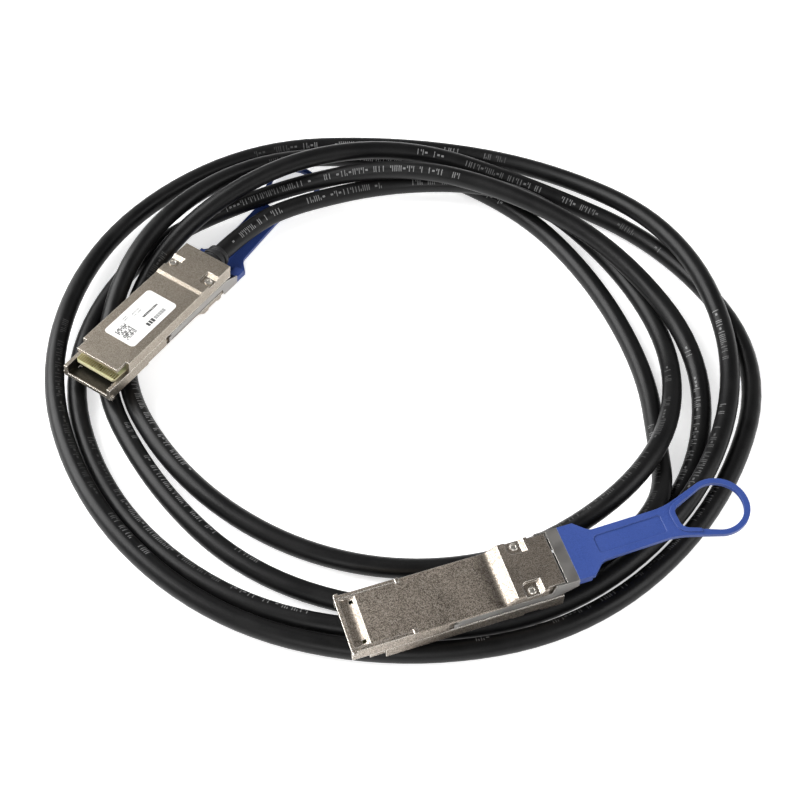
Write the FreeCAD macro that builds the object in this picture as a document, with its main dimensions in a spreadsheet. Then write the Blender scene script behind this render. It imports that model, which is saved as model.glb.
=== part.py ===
import FreeCAD, Part
import math
import os
import re
import Sketcher

# Direct attach copper cable: two pluggable ends of the 40/100 gigabit size on one coiled cable.
# Millimetres, +Z up, the origin on the surface under the middle of the two plugs.
# Each plug is drawn in a frame of its own: x runs from the nose (0) back to the cable, y is across,
# z is 0 on the label side and grows to the pull-tab side. Its placement then lays it down.

Vector = FreeCAD.Vector
os.makedirs("parts", exist_ok=True)
doc = FreeCAD.newDocument("direct_attach_cable")

SIZES = (
    ("body_width", 18.35, "width over the two shells"),
    ("body_height", 8.5, "height of the front of the plug"),
    ("body_length", 63.4, "nose to the back of the castings"),
    ("front_flat", 45.7, "nose to the foot of the ramp"),
    ("ramp_length", 3.3, "length of the ramp"),
    ("foot_round", 5.0, "hollow at the foot of the ramp"),
    ("rear_raise", 2.4, "how far the back stands above the front"),
    ("split_height", 4.2, "where the two shells meet"),
    ("wall", 1.3, "thickness of the castings"),
    ("ferrule_side", 0.95, "room beside the ferrule"),
    ("edge_round", 0.5, "rounding of the long edges"),
    ("nose_roof", 7.2, "roof of the mouth at the nose"),
    ("nose_depth", 8.0, "how far back the low roof goes"),
    ("trough_start", 1.2, "front rim ahead of the trough"),
    ("trough_length", 4.6, "opening of the trough, front to back"),
    ("trough_depth", 0.9, "depth of the trough"),
    ("trough_side", 1.425, "metal left at each end of the trough"),
    ("hole_side", 1.2, "square holes in the trough"),
    ("hole_back", 4.4, "nose to the square holes"),
    ("hole_edge", 1.35, "square holes from the ends of the trough"),
    ("rim_length", 18.2, "side rims behind the nose"),
    ("rim_width", 1.0, "width of the side rims"),
    ("rim_height", 0.22, "height of the side rims"),
    ("rim_root", 0.6, "rims and blocks start this deep under the upper face"),
    ("rim_block_long", 1.1, "length of the blocks that end the side rims"),
    ("rim_block_wide", 1.5, "width of those blocks"),
    ("rim_block_high", 0.35, "height of those blocks"),
    ("nib_out", 0.6, "nose nibs beyond the side"),
    ("nib_root", 0.4, "nose nibs inside the side"),
    ("nib_start", 0.2, "nose to the nibs"),
    ("nib_end", 1.5, "nose to the back of the nibs"),
    ("nib_deep", 1.2, "nibs below the upper face"),
    ("nib_proud", 0.2, "nibs above the upper face"),
    ("tongue_start", 5.4, "front of the label side's tongue"),
    ("tongue_width", 15.8, "width of the tongue"),
    ("shoulder", 9.8, "where the label side reaches full width"),
    ("step_start", 46.8, "where the label side steps out"),
    ("step_slope", 1.3, "length of that step's slope"),
    ("step_height", 0.45, "height of that step"),
    ("rivet_from_back", 9.6, "rivets to the back of the castings"),
    ("rivet_edge", 1.775, "rivets to the sides of the castings"),
    ("rivet_shank", 1.6, "rivet shank"),
    ("rivet_play", 0.1, "rivet shank in its hole, on the diameter"),
    ("rivet_head", 2.6, "rivet head"),
    ("crown_bevel", 0.3, "bevel round an upper rivet head"),
    ("head_height", 0.5, "height of a rivet head"),
    ("pocket_ahead", 2.4, "rivet pockets ahead of the rivets"),
    ("pocket_behind", 1.9, "rivets to the foot of the pockets' sloping back"),
    ("pocket_slope", 1.3, "length of that slope"),
    ("pocket_beside", 2.7, "rivet pockets inward of the rivets"),
    ("pocket_corner", 1.6, "rounding of the pockets' inner corners"),
    ("pocket_depth", 1.0, "depth of the rivet pockets"),
    ("recess_start", 28.6, "front of the slider's side recess"),
    ("recess_depth", 0.8, "depth of the side recess"),
    ("recess_low", 4.6, "lower edge of the side recess"),
    ("recess_top", 8.0, "upper edge of the side recess"),
    ("recess_open", 1.2, "pockets to where the recess is open at the top"),
    ("spring_slot", 46.9, "front of the spring's slot"),
    ("spring_slot_long", 5.9, "length of the spring's slot"),
    ("spring_slot_deep", 2.475, "depth of the spring's slot from the side"),
    ("spring_above", 0.4, "spring's slot above the recess's lower edge"),
    ("spring_below", 0.7, "spring's slot below the recess's upper edge"),
    ("spring_round", 1.3, "mean diameter of the spring"),
    ("spring_wire", 0.24, "wire of the spring"),
    ("spring_pitch", 0.92, "pitch of the spring"),
    ("spring_room", 1.3, "part of the slot that the spring does not fill"),
    ("spring_gap", 0.03, "slider's lug to the spring"),
    ("lug_start", 0.4, "front of the spring's slot to the slider's lug"),
    ("lug_long", 0.6, "length of that lug"),
    ("lug_gap", 0.25, "that lug to the slot's other walls"),
    ("card_gap", 0.175, "card to the side walls"),
    ("card_start", 3.9, "nose to the edge of the card"),
    ("card_end", 45.0, "nose to the back of the card"),
    ("card_low", 3.75, "underside of the card"),
    ("card_corner", 0.8, "front corners taken off the card"),
    ("notch_start", 13.0, "nose to the notches in the card's sides"),
    ("notch_long", 1.6, "length of the notches"),
    ("notch_deep", 0.9, "depth of the notches"),
    ("card_thick", 1.0, "thickness of the card"),
    ("pad_edge", 0.5, "outermost pads' middles to the card's sides"),
    ("pad_back", 0.5, "edge of the card to the contact pads"),
    ("pad_width", 0.5, "width of a contact pad"),
    ("pad_long", 2.4, "length of a contact pad"),
    ("pad_thick", 0.08, "thickness of a contact pad"),
    ("chip_start", 20.0, "nose to the memory chip"),
    ("chip_long", 4.2, "length of the chip"),
    ("chip_half", 2.5, "half width of the chip"),
    ("chip_high", 0.9, "height of the chip"),
    ("wire_round", 1.1, "one insulated wire pair"),
    ("wire_start", 40.5, "where the pairs are soldered to the card"),
    ("ferrule_long", 8.8, "length of the ferrule"),
    ("ferrule_wall", 0.3, "ferrule round the cable"),
    ("ferrule_gap", 0.3, "room under the ferrule"),
    ("crimp_start", 2.6, "front of the ferrule to its crimp"),
    ("crimp_long", 2.0, "length of the crimp"),
    ("crimp_deep", 0.5, "depth of the crimp"),
    ("exit_gap", 0.15, "ferrule in the back wall"),
    ("exit_height", 4.6, "height of the cable's axis"),
    ("boot_length", 6.2, "length of the strain relief"),
    ("boot_wall", 1.3, "strain relief round the cable, at the casting"),
    ("boot_thin_wall", 0.95, "strain relief round the cable, at its end"),
    ("groove_wall", 0.45, "strain relief round the cable, in its grooves"),
    ("arm_gap", 0.305, "slider's arms to the floor of the recess"),
    ("sheet_thick", 0.42, "sheet of the slider"),
    ("arm_behind", 2.0, "arms behind the front of the recess"),
    ("arm_above", 0.4, "arms above the recess's lower edge"),
    ("arm_below", 0.4, "arms below the recess's upper edge"),
    ("arm_rise", 2.5, "bridge to where the arms' lower edge slopes up"),
    ("arm_crest", 3.4, "bridge to the front of the arms' raised part"),
    ("arm_shoulder", 4.6, "bridge to the foot of that part"),
    ("tip_proud", 0.325, "latch tips beyond the sides"),
    ("tip_ahead", 0.8, "latch tips ahead of the arms"),
    ("tip_behind", 0.6, "latch tips behind the front of the arms"),
    ("tip_edge", 0.3, "latch tips inside the arms' edges"),
    ("bridge_gap", 0.5, "castings to the bridge"),
    ("bridge_long", 3.7, "length of the bridge"),
    ("tongue_half", 6.0, "half width of the slider's tongue"),
    ("tongue_drop", 0.95, "top of the bridge to the underside of the slider's tongue"),
    ("tongue_long", 3.9, "length of the slider's tongue"),
    ("joggle_long", 0.45, "step between the bridge and the slider's tongue"),
    ("tongue_play", 0.05, "slider's tongue in the tab, sideways and at its end"),
    ("tongue_slack", 0.03, "slider's tongue in the tab, above and below"),
    ("tab_edge", 0.175, "tab's head to the sides of the castings"),
    ("tab_under", 0.35, "tab's head under the slider's tongue"),
    ("tab_thick", 1.3, "thickness of the tab"),
    ("cheek_drop", 1.3, "cheeks under the tab's head"),
    ("cheek_in", 5.6, "inner side of the cheeks"),
    ("cheek_long", 4.0, "length of the cheeks"),
    ("head_long", 4.4, "length of the tab's head"),
    ("tab_bend_a", 6.6, "bend of the strap of plug A in degrees"),
    ("tab_bend_b", -2.5, "bend of the strap of plug B in degrees"),
    ("strap_half", 5.0, "half width of the strap"),
    ("loop_half", 9.5, "half width of the finger loop"),
    ("loop_start", 41.0, "bend to where the loop is full width"),
    ("loop_end", 51.8, "bend to the end of the loop"),
    ("hole_half", 7.9, "half width of the finger hole"),
    ("hole_start", 29.8, "bend to the finger hole"),
    ("hole_end", 50.0, "bend to the far side of the finger hole"),
    ("panel_start", 4.4, "bend to the panel on the strap"),
    ("panel_end", 25.3, "bend to the panel's far end"),
    ("panel_half", 3.0, "half width of the panel"),
    ("panel_depth", 0.3, "depth of the panel"),
    ("label_long", 23.0, "length of the label"),
    ("label_wide", 12.0, "width of the label"),
    ("label_thick", 0.12, "thickness of the label"),
    ("label_corner", 1.4, "rounding of the label's corners"),
    ("label_back", 27.4, "nose to the middle of the label"),
    ("plug_a_x", -94.56, "nose of plug A"),
    ("plug_a_y", -3.25, "nose of plug A"),
    ("plug_a_z", 18.88, "nose of plug A"),
    ("plug_a_yaw", 58.0, "plug A, degrees"),
    ("plug_a_pitch", 6.0, "plug A, degrees"),
    ("plug_a_roll", 183.0, "plug A lies label side up, degrees"),
    ("plug_b_x", -12.41, "nose of plug B"),
    ("plug_b_y", -90.37, "nose of plug B"),
    ("plug_b_z", 7.6, "nose of plug B"),
    ("plug_b_yaw", 18.5, "plug B, degrees"),
    ("plug_b_pitch", 0.0, "plug B, degrees"),
    ("plug_b_roll", 0.0, "plug B, degrees"),
    ("cable_round", 6.3, "diameter of the cable"),
    ("plug_a_lead", 14.0, "straight cable behind the strain relief of plug A"),
    ("plug_b_lead", 10.4, "straight cable behind the strain relief of plug B"),
    ("coil_x", 3.64, "middle of the coil"),
    ("coil_y", 8.75, "middle of the coil"),
    ("first_bearing", 120.0, "bearing of the coil's first point in degrees"),
    ("bearing_step", 30.0, "twelve points to a turn"),
)

# Sizes and places that follow from those above, so that the pieces still fit when one of them changes.
FITS = (
    ("rear_top", "body_height + rear_raise", "upper face of the back"),
    ("trough_width", "body_width - 2 * trough_side", "width of the trough"),
    ("hole_out", "trough_width / 2 - hole_edge", "square holes from the middle"),
    ("rivet_back", "body_length - rivet_from_back", "nose to the rivets"),
    ("rivet_out", "body_width / 2 - rivet_edge", "rivets from the middle"),
    ("pocket_start", "rivet_back - pocket_ahead", "front of the rivet pockets"),
    ("pocket_end", "rivet_back + pocket_behind", "foot of the pockets' sloping back"),
    ("pocket_in", "rivet_out - pocket_beside", "inner side of the pockets from the middle"),
    ("spring_slot_in", "body_width / 2 - spring_slot_deep", "inner side of the spring's slot"),
    ("spring_low", "recess_low + spring_above", "lower side of the spring's slot"),
    ("spring_high", "recess_top - spring_below", "upper side of the spring's slot"),
    ("spring_free", "spring_slot_long - spring_room", "length of the spring as fitted"),
    ("card_width", "body_width - 2 * wall - 2 * card_gap", "paddle card"),
    ("pad_pitch", "(card_width - 2 * pad_edge) / 18", "pitch of the contact pads"),
    ("ferrule_start", "body_length - ferrule_long", "front of the ferrule"),
    ("ferrule_round", "cable_round + 2 * ferrule_wall", "outside of the ferrule"),
    ("exit_bore", "ferrule_round + 2 * exit_gap", "hole in the back wall"),
    ("rear_half", "ferrule_round / 2 + ferrule_side", "half width of the room for the cable end"),
    ("rear_floor", "exit_height - ferrule_round / 2 - ferrule_gap", "floor of that room"),
    ("boot_round", "cable_round + 2 * boot_wall", "strain relief at the casting"),
    ("boot_small", "cable_round + 2 * boot_thin_wall", "strain relief at the cable"),
    ("boot_groove", "cable_round + 2 * groove_wall", "bottom of the strain relief's grooves"),
    ("arm_inside", "body_width / 2 - recess_depth + arm_gap", "inner face of the slider's arms"),
    ("arm_low", "recess_low + arm_above", "lower edge of the arms"),
    ("arm_top", "recess_top - arm_below", "upper edge of the arms"),
    ("arm_start", "recess_start + arm_behind", "front end of the arms"),
    ("tip_out", "body_width / 2 + tip_proud", "latch tips from the middle"),
    ("bridge_start", "body_length + bridge_gap", "front edge of the bridge"),
    ("bridge_end", "bridge_start + bridge_long", "back edge of the bridge"),
    ("bridge_top", "rear_top", "upper face of the bridge"),
    ("tongue_low", "bridge_top - tongue_drop", "underside of the slider's tongue"),
    ("tongue_end", "bridge_end + tongue_long", "back end of the slider's tongue"),
    ("tab_half", "body_width / 2 - tab_edge", "half width of the tab at the bridge"),
    ("tab_low", "tongue_low - tab_under", "underside of the tab"),
    ("cheek_low", "tab_low - cheek_drop", "underside of the tab's cheeks"),
    ("bend_at", "bridge_end + head_long", "where the strap bends"),
)

dims = doc.addObject("Spreadsheet::Sheet", "Dims")
for row, (alias, value, note) in enumerate(SIZES + FITS, start=1):
    dims.set("A%d" % row, note)
    dims.set("B%d" % row, "=" + value if isinstance(value, str) else str(value))
    dims.setAlias("B%d" % row, alias)
doc.recompute()
WORDS = {alias for alias, value, note in SIZES + FITS}


def size(alias):
    return float(dims.get(alias))


def cells(text):
    """An expression on the sheet: each alias in the text becomes a reference to its cell."""
    return re.sub(r"[a-z_]+", lambda word: "Dims." + word[0] if word[0] in WORDS else word[0], text)


def origin_plane(body, role):
    for plane in body.Origin.OriginFeatures:
        if plane.Role == role:
            return plane
    raise ValueError(role)


def new_body(name, plug=None):
    body = doc.addObject("PartDesign::Body", name)
    body.Label = name
    if plug:
        place(body, plug)
    return body


def place(thing, plug):
    """Lay a piece of a plug where that plug lies."""
    spot = "vector(plug_x; plug_y; plug_z)"
    turn = "rotation(plug_yaw; plug_pitch; plug_roll)"
    text = ("placement(%s; %s)" % (spot, turn)).replace("plug", plug)
    thing.setExpression("Placement", cells(text))


def new_sketch(body, name, role, lift="0", tilt="0", start="0"):
    """A sketch on one of the body's own planes, lifted along its normal and tilted about y."""
    sketch = body.newObject("Sketcher::SketchObject", name)
    sketch.AttachmentSupport = (origin_plane(body, role), [""])
    sketch.MapMode = "FlatFace"
    if tilt != "0":
        sketch.AttachmentOffset = FreeCAD.Placement(Vector(), FreeCAD.Rotation(Vector(0, 1, 0), 1))
        sketch.setExpression("AttachmentOffset.Rotation.Angle", cells(tilt) + " * 1 deg")
    if start != "0":
        sketch.setExpression("AttachmentOffset.Base.x", cells(start))
    if lift != "0":
        sketch.setExpression("AttachmentOffset.Base.z", cells(lift))
    return sketch


def held(sketch, points):
    """Hold points of the sketch at distances from its origin that the sheet gives."""
    rules = []
    texts = []
    for item, spot, across, along in points:
        for kind, text, axis in (("DistanceX", across, -2), ("DistanceY", along, -1)):
            if text == "0":
                rules.append(Sketcher.Constraint("PointOnObject", item, spot, axis))
                texts.append("")
            else:
                rules.append(Sketcher.Constraint(kind, -1, 1, item, spot, 5.0))
                texts.append(text)
    drive(sketch, rules, texts)


def drive(sketch, rules, texts):
    first = sketch.ConstraintCount
    sketch.addConstraint(rules)
    for number, text in enumerate(texts, start=first):
        if text:
            sketch.renameConstraint(number, "size_%d" % number)
            sketch.setExpression("Constraints.size_%d" % number, cells(text))


def outline(sketch, corners):
    """A closed outline with each corner held across and along."""
    first = sketch.GeometryCount
    count = len(corners)
    ring = []
    for i in range(count):
        turn = 2 * math.pi * i / count
        ring.append(Vector(10 * math.cos(turn), 10 * math.sin(turn), 0))
    lines = [Part.LineSegment(ring[i], ring[(i + 1) % count]) for i in range(count)]
    sketch.addGeometry(lines, False)
    joins = []
    for i in range(count):
        joins.append(Sketcher.Constraint("Coincident", first + i, 2, first + (i + 1) % count, 1))
    sketch.addConstraint(joins)
    held(sketch, [(first + i, 1, corner[0], corner[1]) for i, corner in enumerate(corners)])


def circle(sketch, across, along, diameter):
    item = sketch.addGeometry(Part.Circle(Vector(3, 3, 0), Vector(0, 0, 1), 2), False)
    held(sketch, [(item, 3, across, along)])
    drive(sketch, [Sketcher.Constraint("Diameter", item, 4.0)], [diameter])


def box(low_x, high_x, low_y, high_y):
    return ((low_x, low_y), (high_x, low_y), (high_x, high_y), (low_x, high_y))


def both_sides(low_x, high_x, low_y, high_y):
    """A rectangle and its mirror image across the plug's middle."""
    return (
        box(low_x, high_x, low_y, high_y),
        box(low_x, high_x, "-(%s)" % high_y, "-(%s)" % low_y),
    )


def add(body, name, sketch, length, middle=False):
    pad = body.newObject("PartDesign::Pad", name)
    pad.Profile = sketch
    pad.setExpression("Length", cells(length))
    pad.Midplane = middle
    doc.recompute()
    return pad


def cut(body, name, sketch, length, other_way=False, middle=False):
    before = body.Shape.Volume
    pocket = body.newObject("PartDesign::Pocket", name)
    pocket.Profile = sketch
    pocket.setExpression("Length", cells(length))
    pocket.Reversed = other_way
    pocket.Midplane = middle
    doc.recompute()
    if body.Shape.Volume > before - 1e-4:
        raise ValueError("%s %s cuts nothing" % (body.Label, name))
    return pocket


def add_plates(body, name, lift, height, corners):
    sketch = new_sketch(body, name + "_sketch", "XY_Plane", lift)
    for ring in corners:
        outline(sketch, ring)
    return add(body, name, sketch, height)


def cut_plates(body, name, lift, depth, corners, upward=False):
    sketch = new_sketch(body, name + "_sketch", "XY_Plane", lift)
    for ring in corners:
        outline(sketch, ring)
    return cut(body, name, sketch, depth, upward)


def mirror_across(body, name, features):
    mirror = body.newObject("PartDesign::Mirrored", name)
    mirror.Originals = features
    mirror.MirrorPlane = (origin_plane(body, "XZ_Plane"), [""])
    body.Tip = mirror
    doc.recompute()
    return mirror


def dress_edges(body, kind, name, names, measure, value):
    """A fillet or a chamfer on named edges of the body's last feature."""
    if not names:
        raise ValueError("%s %s finds no edge" % (body.Label, name))
    base = body.Tip
    feature = body.newObject("PartDesign::" + kind, name)
    feature.Base = (base, names)
    setattr(feature, measure, value)
    doc.recompute()
    if "Invalid" in feature.State:
        raise ValueError("%s %s fails" % (body.Label, name))


def round_edges(body, name, names, radius):
    dress_edges(body, "Fillet", name, names, "Radius", radius)


def bevel_edges(body, name, names, width):
    dress_edges(body, "Chamfer", name, names, "Size", width)


def own_shape(body):
    """The body's shape in its own frame, without its placement."""
    return body.Tip.Shape


def rivet_pockets(body, face, inward):
    """Pockets in a face at a height, open to both sides; inward is the way into the face, 1 or -1."""
    front = size("pocket_start")
    back = size("pocket_end")
    near = size("pocket_in")
    far = size("body_width") / 2 + 1
    corner = size("pocket_corner")
    floor = new_sketch(body, "pocket_sketch", "XY_Plane", face)
    for side in (1, -1):
        corners = [(front, near, corner), (back, near, 0), (back, far, 0), (front, far, 0)]
        smooth_outline(floor, [(x, side * y, radius) for x, y, radius in corners])
    cut(body, "pockets", floor, "pocket_depth", other_way=inward > 0)
    slope = new_sketch(body, "pocket_slope_sketch", "XZ_Plane", "body_width / 2")
    deep = "%s + %d * pocket_depth" % (face, inward)
    outline(slope, (
        ("pocket_end - 0.1", deep),
        ("pocket_end", deep),
        ("pocket_end + pocket_slope", face),
        ("pocket_end - 0.1", face),
    ))
    slope_cut = cut(body, "pocket_slope", slope, "body_width / 2 - pocket_in")
    mirror_across(body, "pocket_slope_other_side", [slope_cut])


def latch_shell(plug):
    body = new_body(plug + "_latch_shell", plug)
    side = new_sketch(body, "side_outline", "XZ_Plane")
    outline(side, (
        ("0", "split_height"),
        ("0", "body_height"),
        ("front_flat", "body_height"),
        ("front_flat + ramp_length", "rear_top"),
        ("body_length", "rear_top"),
        ("body_length", "split_height"),
    ))
    add(body, "casting", side, "body_width", middle=True)
    foot = []
    for number, edge in enumerate(own_shape(body).Edges, start=1):
        across = abs(edge.BoundBox.YLength - size("body_width")) < 0.01
        middle = edge.BoundBox.Center
        if across and abs(middle.x - size("front_flat")) < 0.01 and middle.z > size("body_height") - 0.01:
            foot.append("Edge%d" % number)
    round_edges(body, "foot_hollow", foot, size("foot_round"))
    long_edges = []
    half = size("body_width") / 2
    for number, edge in enumerate(own_shape(body).Edges, start=1):
        ends = [vertex.Point for vertex in edge.Vertexes]
        low = min(p.z for p in ends)
        if low > size("body_height") - 0.01 and all(abs(abs(p.y) - half) < 0.01 for p in ends):
            if abs(ends[0].y - ends[1].y) < 0.01:
                long_edges.append("Edge%d" % number)
    round_edges(body, "long_rounds", long_edges, size("edge_round"))
    # The mouth, the room for the card and the room for the end of the cable.
    inner = "body_width / 2 - wall"
    mouth = (box("-1", "nose_depth", "-(%s)" % inner, inner),)
    cut_plates(body, "mouth", "split_height", "nose_roof - split_height", mouth, upward=True)
    room = (box("nose_depth", "front_flat", "-(%s)" % inner, inner),)
    cut_plates(body, "card_room", "split_height", "body_height - wall - split_height", room, upward=True)
    rear = (box("front_flat", "body_length - wall", "-rear_half", "rear_half"),)
    cut_plates(body, "cable_room", "split_height", "body_height - wall - split_height", rear, upward=True)
    high = (box("front_flat + ramp_length + 0.4", "body_length - wall", "-rear_half", "rear_half"),)
    roof = "rear_top - wall - split_height"
    cut_plates(body, "high_room", "split_height", roof, high, upward=True)
    bore = new_sketch(body, "exit_sketch", "YZ_Plane", "body_length")
    circle(bore, "0", "exit_height", "exit_bore")
    cut(body, "cable_exit", bore, "wall + 0.2")
    # The concave trough across the nose: its chord and its depth give its radius.
    chord = "(trough_length / 2)"
    radius = "(%s * %s + trough_depth * trough_depth) / (2 * trough_depth)" % (chord, chord)
    trough = new_sketch(body, "trough_sketch", "XZ_Plane")
    level = "body_height - trough_depth + %s" % radius
    circle(trough, "trough_start + trough_length / 2", level, "2 * (%s)" % radius)
    cut(body, "trough", trough, "trough_width", middle=True)
    low = "hole_back - hole_side / 2"
    high = "hole_back + hole_side / 2"
    holes = both_sides(low, high, "hole_out - hole_side / 2", "hole_out + hole_side / 2")
    cut_plates(body, "square_holes", "body_height", "body_height - nose_roof + 0.2", holes)
    # Side rims, the small blocks that end them, and the nibs at the corners of the nose.
    rims = both_sides("0", "rim_length", "body_width / 2 - rim_width", "body_width / 2")
    add_plates(body, "side_rims", "body_height - rim_root", "rim_root + rim_height", rims)
    block_end = "rim_length + rim_block_long"
    blocks = both_sides("rim_length", block_end, "body_width / 2 - rim_block_wide", "body_width / 2")
    add_plates(body, "rim_blocks", "body_height - rim_root", "rim_root + rim_block_high", blocks)
    nibs = both_sides("nib_start", "nib_end", "body_width / 2 - nib_root", "body_width / 2 + nib_out")
    add_plates(body, "nose_nibs", "body_height - nib_deep", "nib_deep + nib_proud", nibs)
    # Rivet pockets, open to the side edges, and the rivet holes.
    top = "rear_top"
    rivet_pockets(body, top, -1)
    shanks = new_sketch(body, "shank_sketch", "XY_Plane", top)
    circle(shanks, "rivet_back", "rivet_out", "rivet_shank + rivet_play")
    circle(shanks, "rivet_back", "-rivet_out", "rivet_shank + rivet_play")
    cut(body, "rivet_holes", shanks, "rear_top - split_height + 1")
    # The slider's recess in each side, wide open at the back, with a slot for its return spring.
    recess = new_sketch(body, "recess_sketch", "XZ_Plane", "body_width / 2")
    outline(recess, (
        ("recess_start", "recess_low"),
        ("body_length + 1", "recess_low"),
        ("body_length + 1", "rear_top + 1"),
        ("pocket_end + pocket_slope + recess_open", "rear_top + 1"),
        ("pocket_end + pocket_slope + recess_open", "recess_top"),
        ("recess_start", "recess_top"),
    ))
    side_cut = cut(body, "recess", recess, "recess_depth")
    mirror_across(body, "recess_other_side", [side_cut])
    slot = new_sketch(body, "slot_sketch", "XZ_Plane", "body_width / 2")
    outline(slot, box("spring_slot", "spring_slot + spring_slot_long", "spring_low", "spring_high"))
    slot_cut = cut(body, "spring_slot", slot, "body_width / 2 - spring_slot_in")
    mirror_across(body, "spring_slot_other_side", [slot_cut])
    return body


def label_shell(plug):
    body = new_body(plug + "_label_shell", plug)
    side = new_sketch(body, "side_outline", "XZ_Plane")
    outline(side, (
        ("shoulder", "0"),
        ("step_start", "0"),
        ("step_start + step_slope", "-step_height"),
        ("body_length", "-step_height"),
        ("body_length", "split_height"),
        ("shoulder", "split_height"),
    ))
    add(body, "casting", side, "body_width", middle=True)
    long_edges = []
    half = size("body_width") / 2
    for number, edge in enumerate(own_shape(body).Edges, start=1):
        ends = [vertex.Point for vertex in edge.Vertexes]
        high = max(p.z for p in ends)
        if high < 0.01 and all(abs(abs(p.y) - half) < 0.01 for p in ends):
            if abs(ends[0].x - ends[1].x) > 1:
                long_edges.append("Edge%d" % number)
    round_edges(body, "long_rounds", long_edges, size("edge_round") / 2)
    tongue = (box("tongue_start", "shoulder + 1", "-tongue_width / 2", "tongue_width / 2"),)
    add_plates(body, "tongue", "0", "wall", tongue)
    inner = "body_width / 2 - wall"
    room = (box("shoulder - 1", "front_flat", "-(%s)" % inner, inner),)
    cut_plates(body, "card_room", "split_height", "split_height - wall", room)
    rear = (box("front_flat - 1", "body_length - wall", "-rear_half", "rear_half"),)
    cut_plates(body, "cable_room", "split_height", "split_height - rear_floor", rear)
    bore = new_sketch(body, "exit_sketch", "YZ_Plane", "body_length")
    circle(bore, "0", "exit_height", "exit_bore")
    cut(body, "cable_exit", bore, "wall + 0.2")
    rivet_pockets(body, "-step_height", 1)
    shanks = new_sketch(body, "shank_sketch", "XY_Plane", "split_height")
    circle(shanks, "rivet_back", "rivet_out", "rivet_shank + rivet_play")
    circle(shanks, "rivet_back", "-rivet_out", "rivet_shank + rivet_play")
    cut(body, "rivet_holes", shanks, "split_height + step_height + 1")
    return body


def plate_corners(low_x, high_x, half_y, corner):
    """A plate symmetric across the middle with its two front corners taken off."""
    side = [
        (low_x, "%s - %s" % (half_y, corner)),
        ("%s + %s" % (low_x, corner), half_y),
        (high_x, half_y),
    ]
    other = [(along, "-(%s)" % across) for along, across in reversed(side)]
    return side + other


def paddle_card(plug):
    body = new_body(plug + "_paddle_card", plug)
    card = plate_corners("card_start", "card_end", "card_width / 2", "card_corner")
    add_plates(body, "board", "card_low", "card_thick", (card,))
    notch_end = "notch_start + notch_long"
    notches = both_sides("notch_start", notch_end, "card_width / 2 - notch_deep", "card_width / 2 + 1")
    cut_plates(body, "notches", "card_low + card_thick", "card_thick + 0.2", notches)
    return body


def contact_pads(plug):
    """Nineteen pads on each face of the card, one column repeated across it."""
    body = new_body(plug + "_contact_pads", plug)
    first = "-9 * pad_pitch"
    pad = box(
        "card_start + pad_back", "card_start + pad_back + pad_long",
        "%s - pad_width / 2" % first, "%s + pad_width / 2" % first,
    )
    upper = add_plates(body, "upper_pad", "card_low + card_thick", "pad_thick", (pad,))
    lower = add_plates(body, "lower_pad", "card_low - pad_thick", "pad_thick", (pad,))
    row = body.newObject("PartDesign::LinearPattern", "row")
    row.Originals = [upper, lower]
    across = [axis for axis in body.Origin.OriginFeatures if axis.Role == "Y_Axis"][0]
    row.Direction = (across, [""])
    row.Occurrences = 19
    row.setExpression("Length", cells("18 * pad_pitch"))
    body.Tip = row
    doc.recompute()
    return body


def memory_chip(plug):
    body = new_body(plug + "_memory_chip", plug)
    package = box("chip_start", "chip_start + chip_long", "-chip_half", "chip_half")
    add_plates(body, "package", "card_low + card_thick", "chip_high", (package,))
    return body


def octagon(across, level, width):
    """An eight-sided section of a given width round a point."""
    corners = []
    for wide, high in ((0.5, 0.207), (0.207, 0.5), (-0.207, 0.5), (-0.5, 0.207),
                       (-0.5, -0.207), (-0.207, -0.5), (0.207, -0.5), (0.5, -0.207)):
        corners.append(("%s + %s * %s" % (across, wide, width), "%s + %s * %s" % (level, high, width)))
    return corners


def wire_pairs(plug):
    """Four pairs lie on each face of the card and run back into the ferrule."""
    body = new_body(plug + "_wire_pairs", plug)
    sketch = new_sketch(body, "pair_sketch", "YZ_Plane", "wire_start")
    for level in ("card_low + card_thick + wire_round / 2", "card_low - wire_round / 2"):
        for across in (-1.7, -0.57, 0.57, 1.7):
            outline(sketch, octagon("%s * wire_round" % across, level, "wire_round"))
    add(body, "pairs", sketch, "ferrule_start - wire_start")
    return body


def turned(body, name, corners):
    """A turned piece: an outline above the cable's axis, given as distance back and radius."""
    sketch = new_sketch(body, name + "_sketch", "XZ_Plane")
    rings = []
    for back, radius in corners:
        rings.append((back, "exit_height + (%s)" % radius if radius != "0" else "exit_height"))
    outline(sketch, rings)
    line = sketch.addGeometry(Part.LineSegment(Vector(0, 3, 0), Vector(9, 3, 0)), True)
    held(sketch, [(line, 1, "body_length", "exit_height"), (line, 2, "body_length + 10", "exit_height")])
    turn = body.newObject("PartDesign::Revolution", name)
    turn.Profile = sketch
    turn.ReferenceAxis = (sketch, ["Axis0"])
    turn.Angle = 360
    doc.recompute()
    return turn


def cable_ferrule(plug):
    body = new_body(plug + "_cable_ferrule", plug)
    half = "ferrule_round / 2"
    crimp_front = "ferrule_start + crimp_start"
    crimp_back = "ferrule_start + crimp_start + crimp_long"
    turned(body, "collar", (
        ("ferrule_start", "0"),
        ("ferrule_start", half),
        (crimp_front, half),
        (crimp_front, half + " - crimp_deep"),
        (crimp_back, half + " - crimp_deep"),
        (crimp_back, half),
        ("body_length", half),
        ("body_length", "0"),
    ))
    return body


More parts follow.
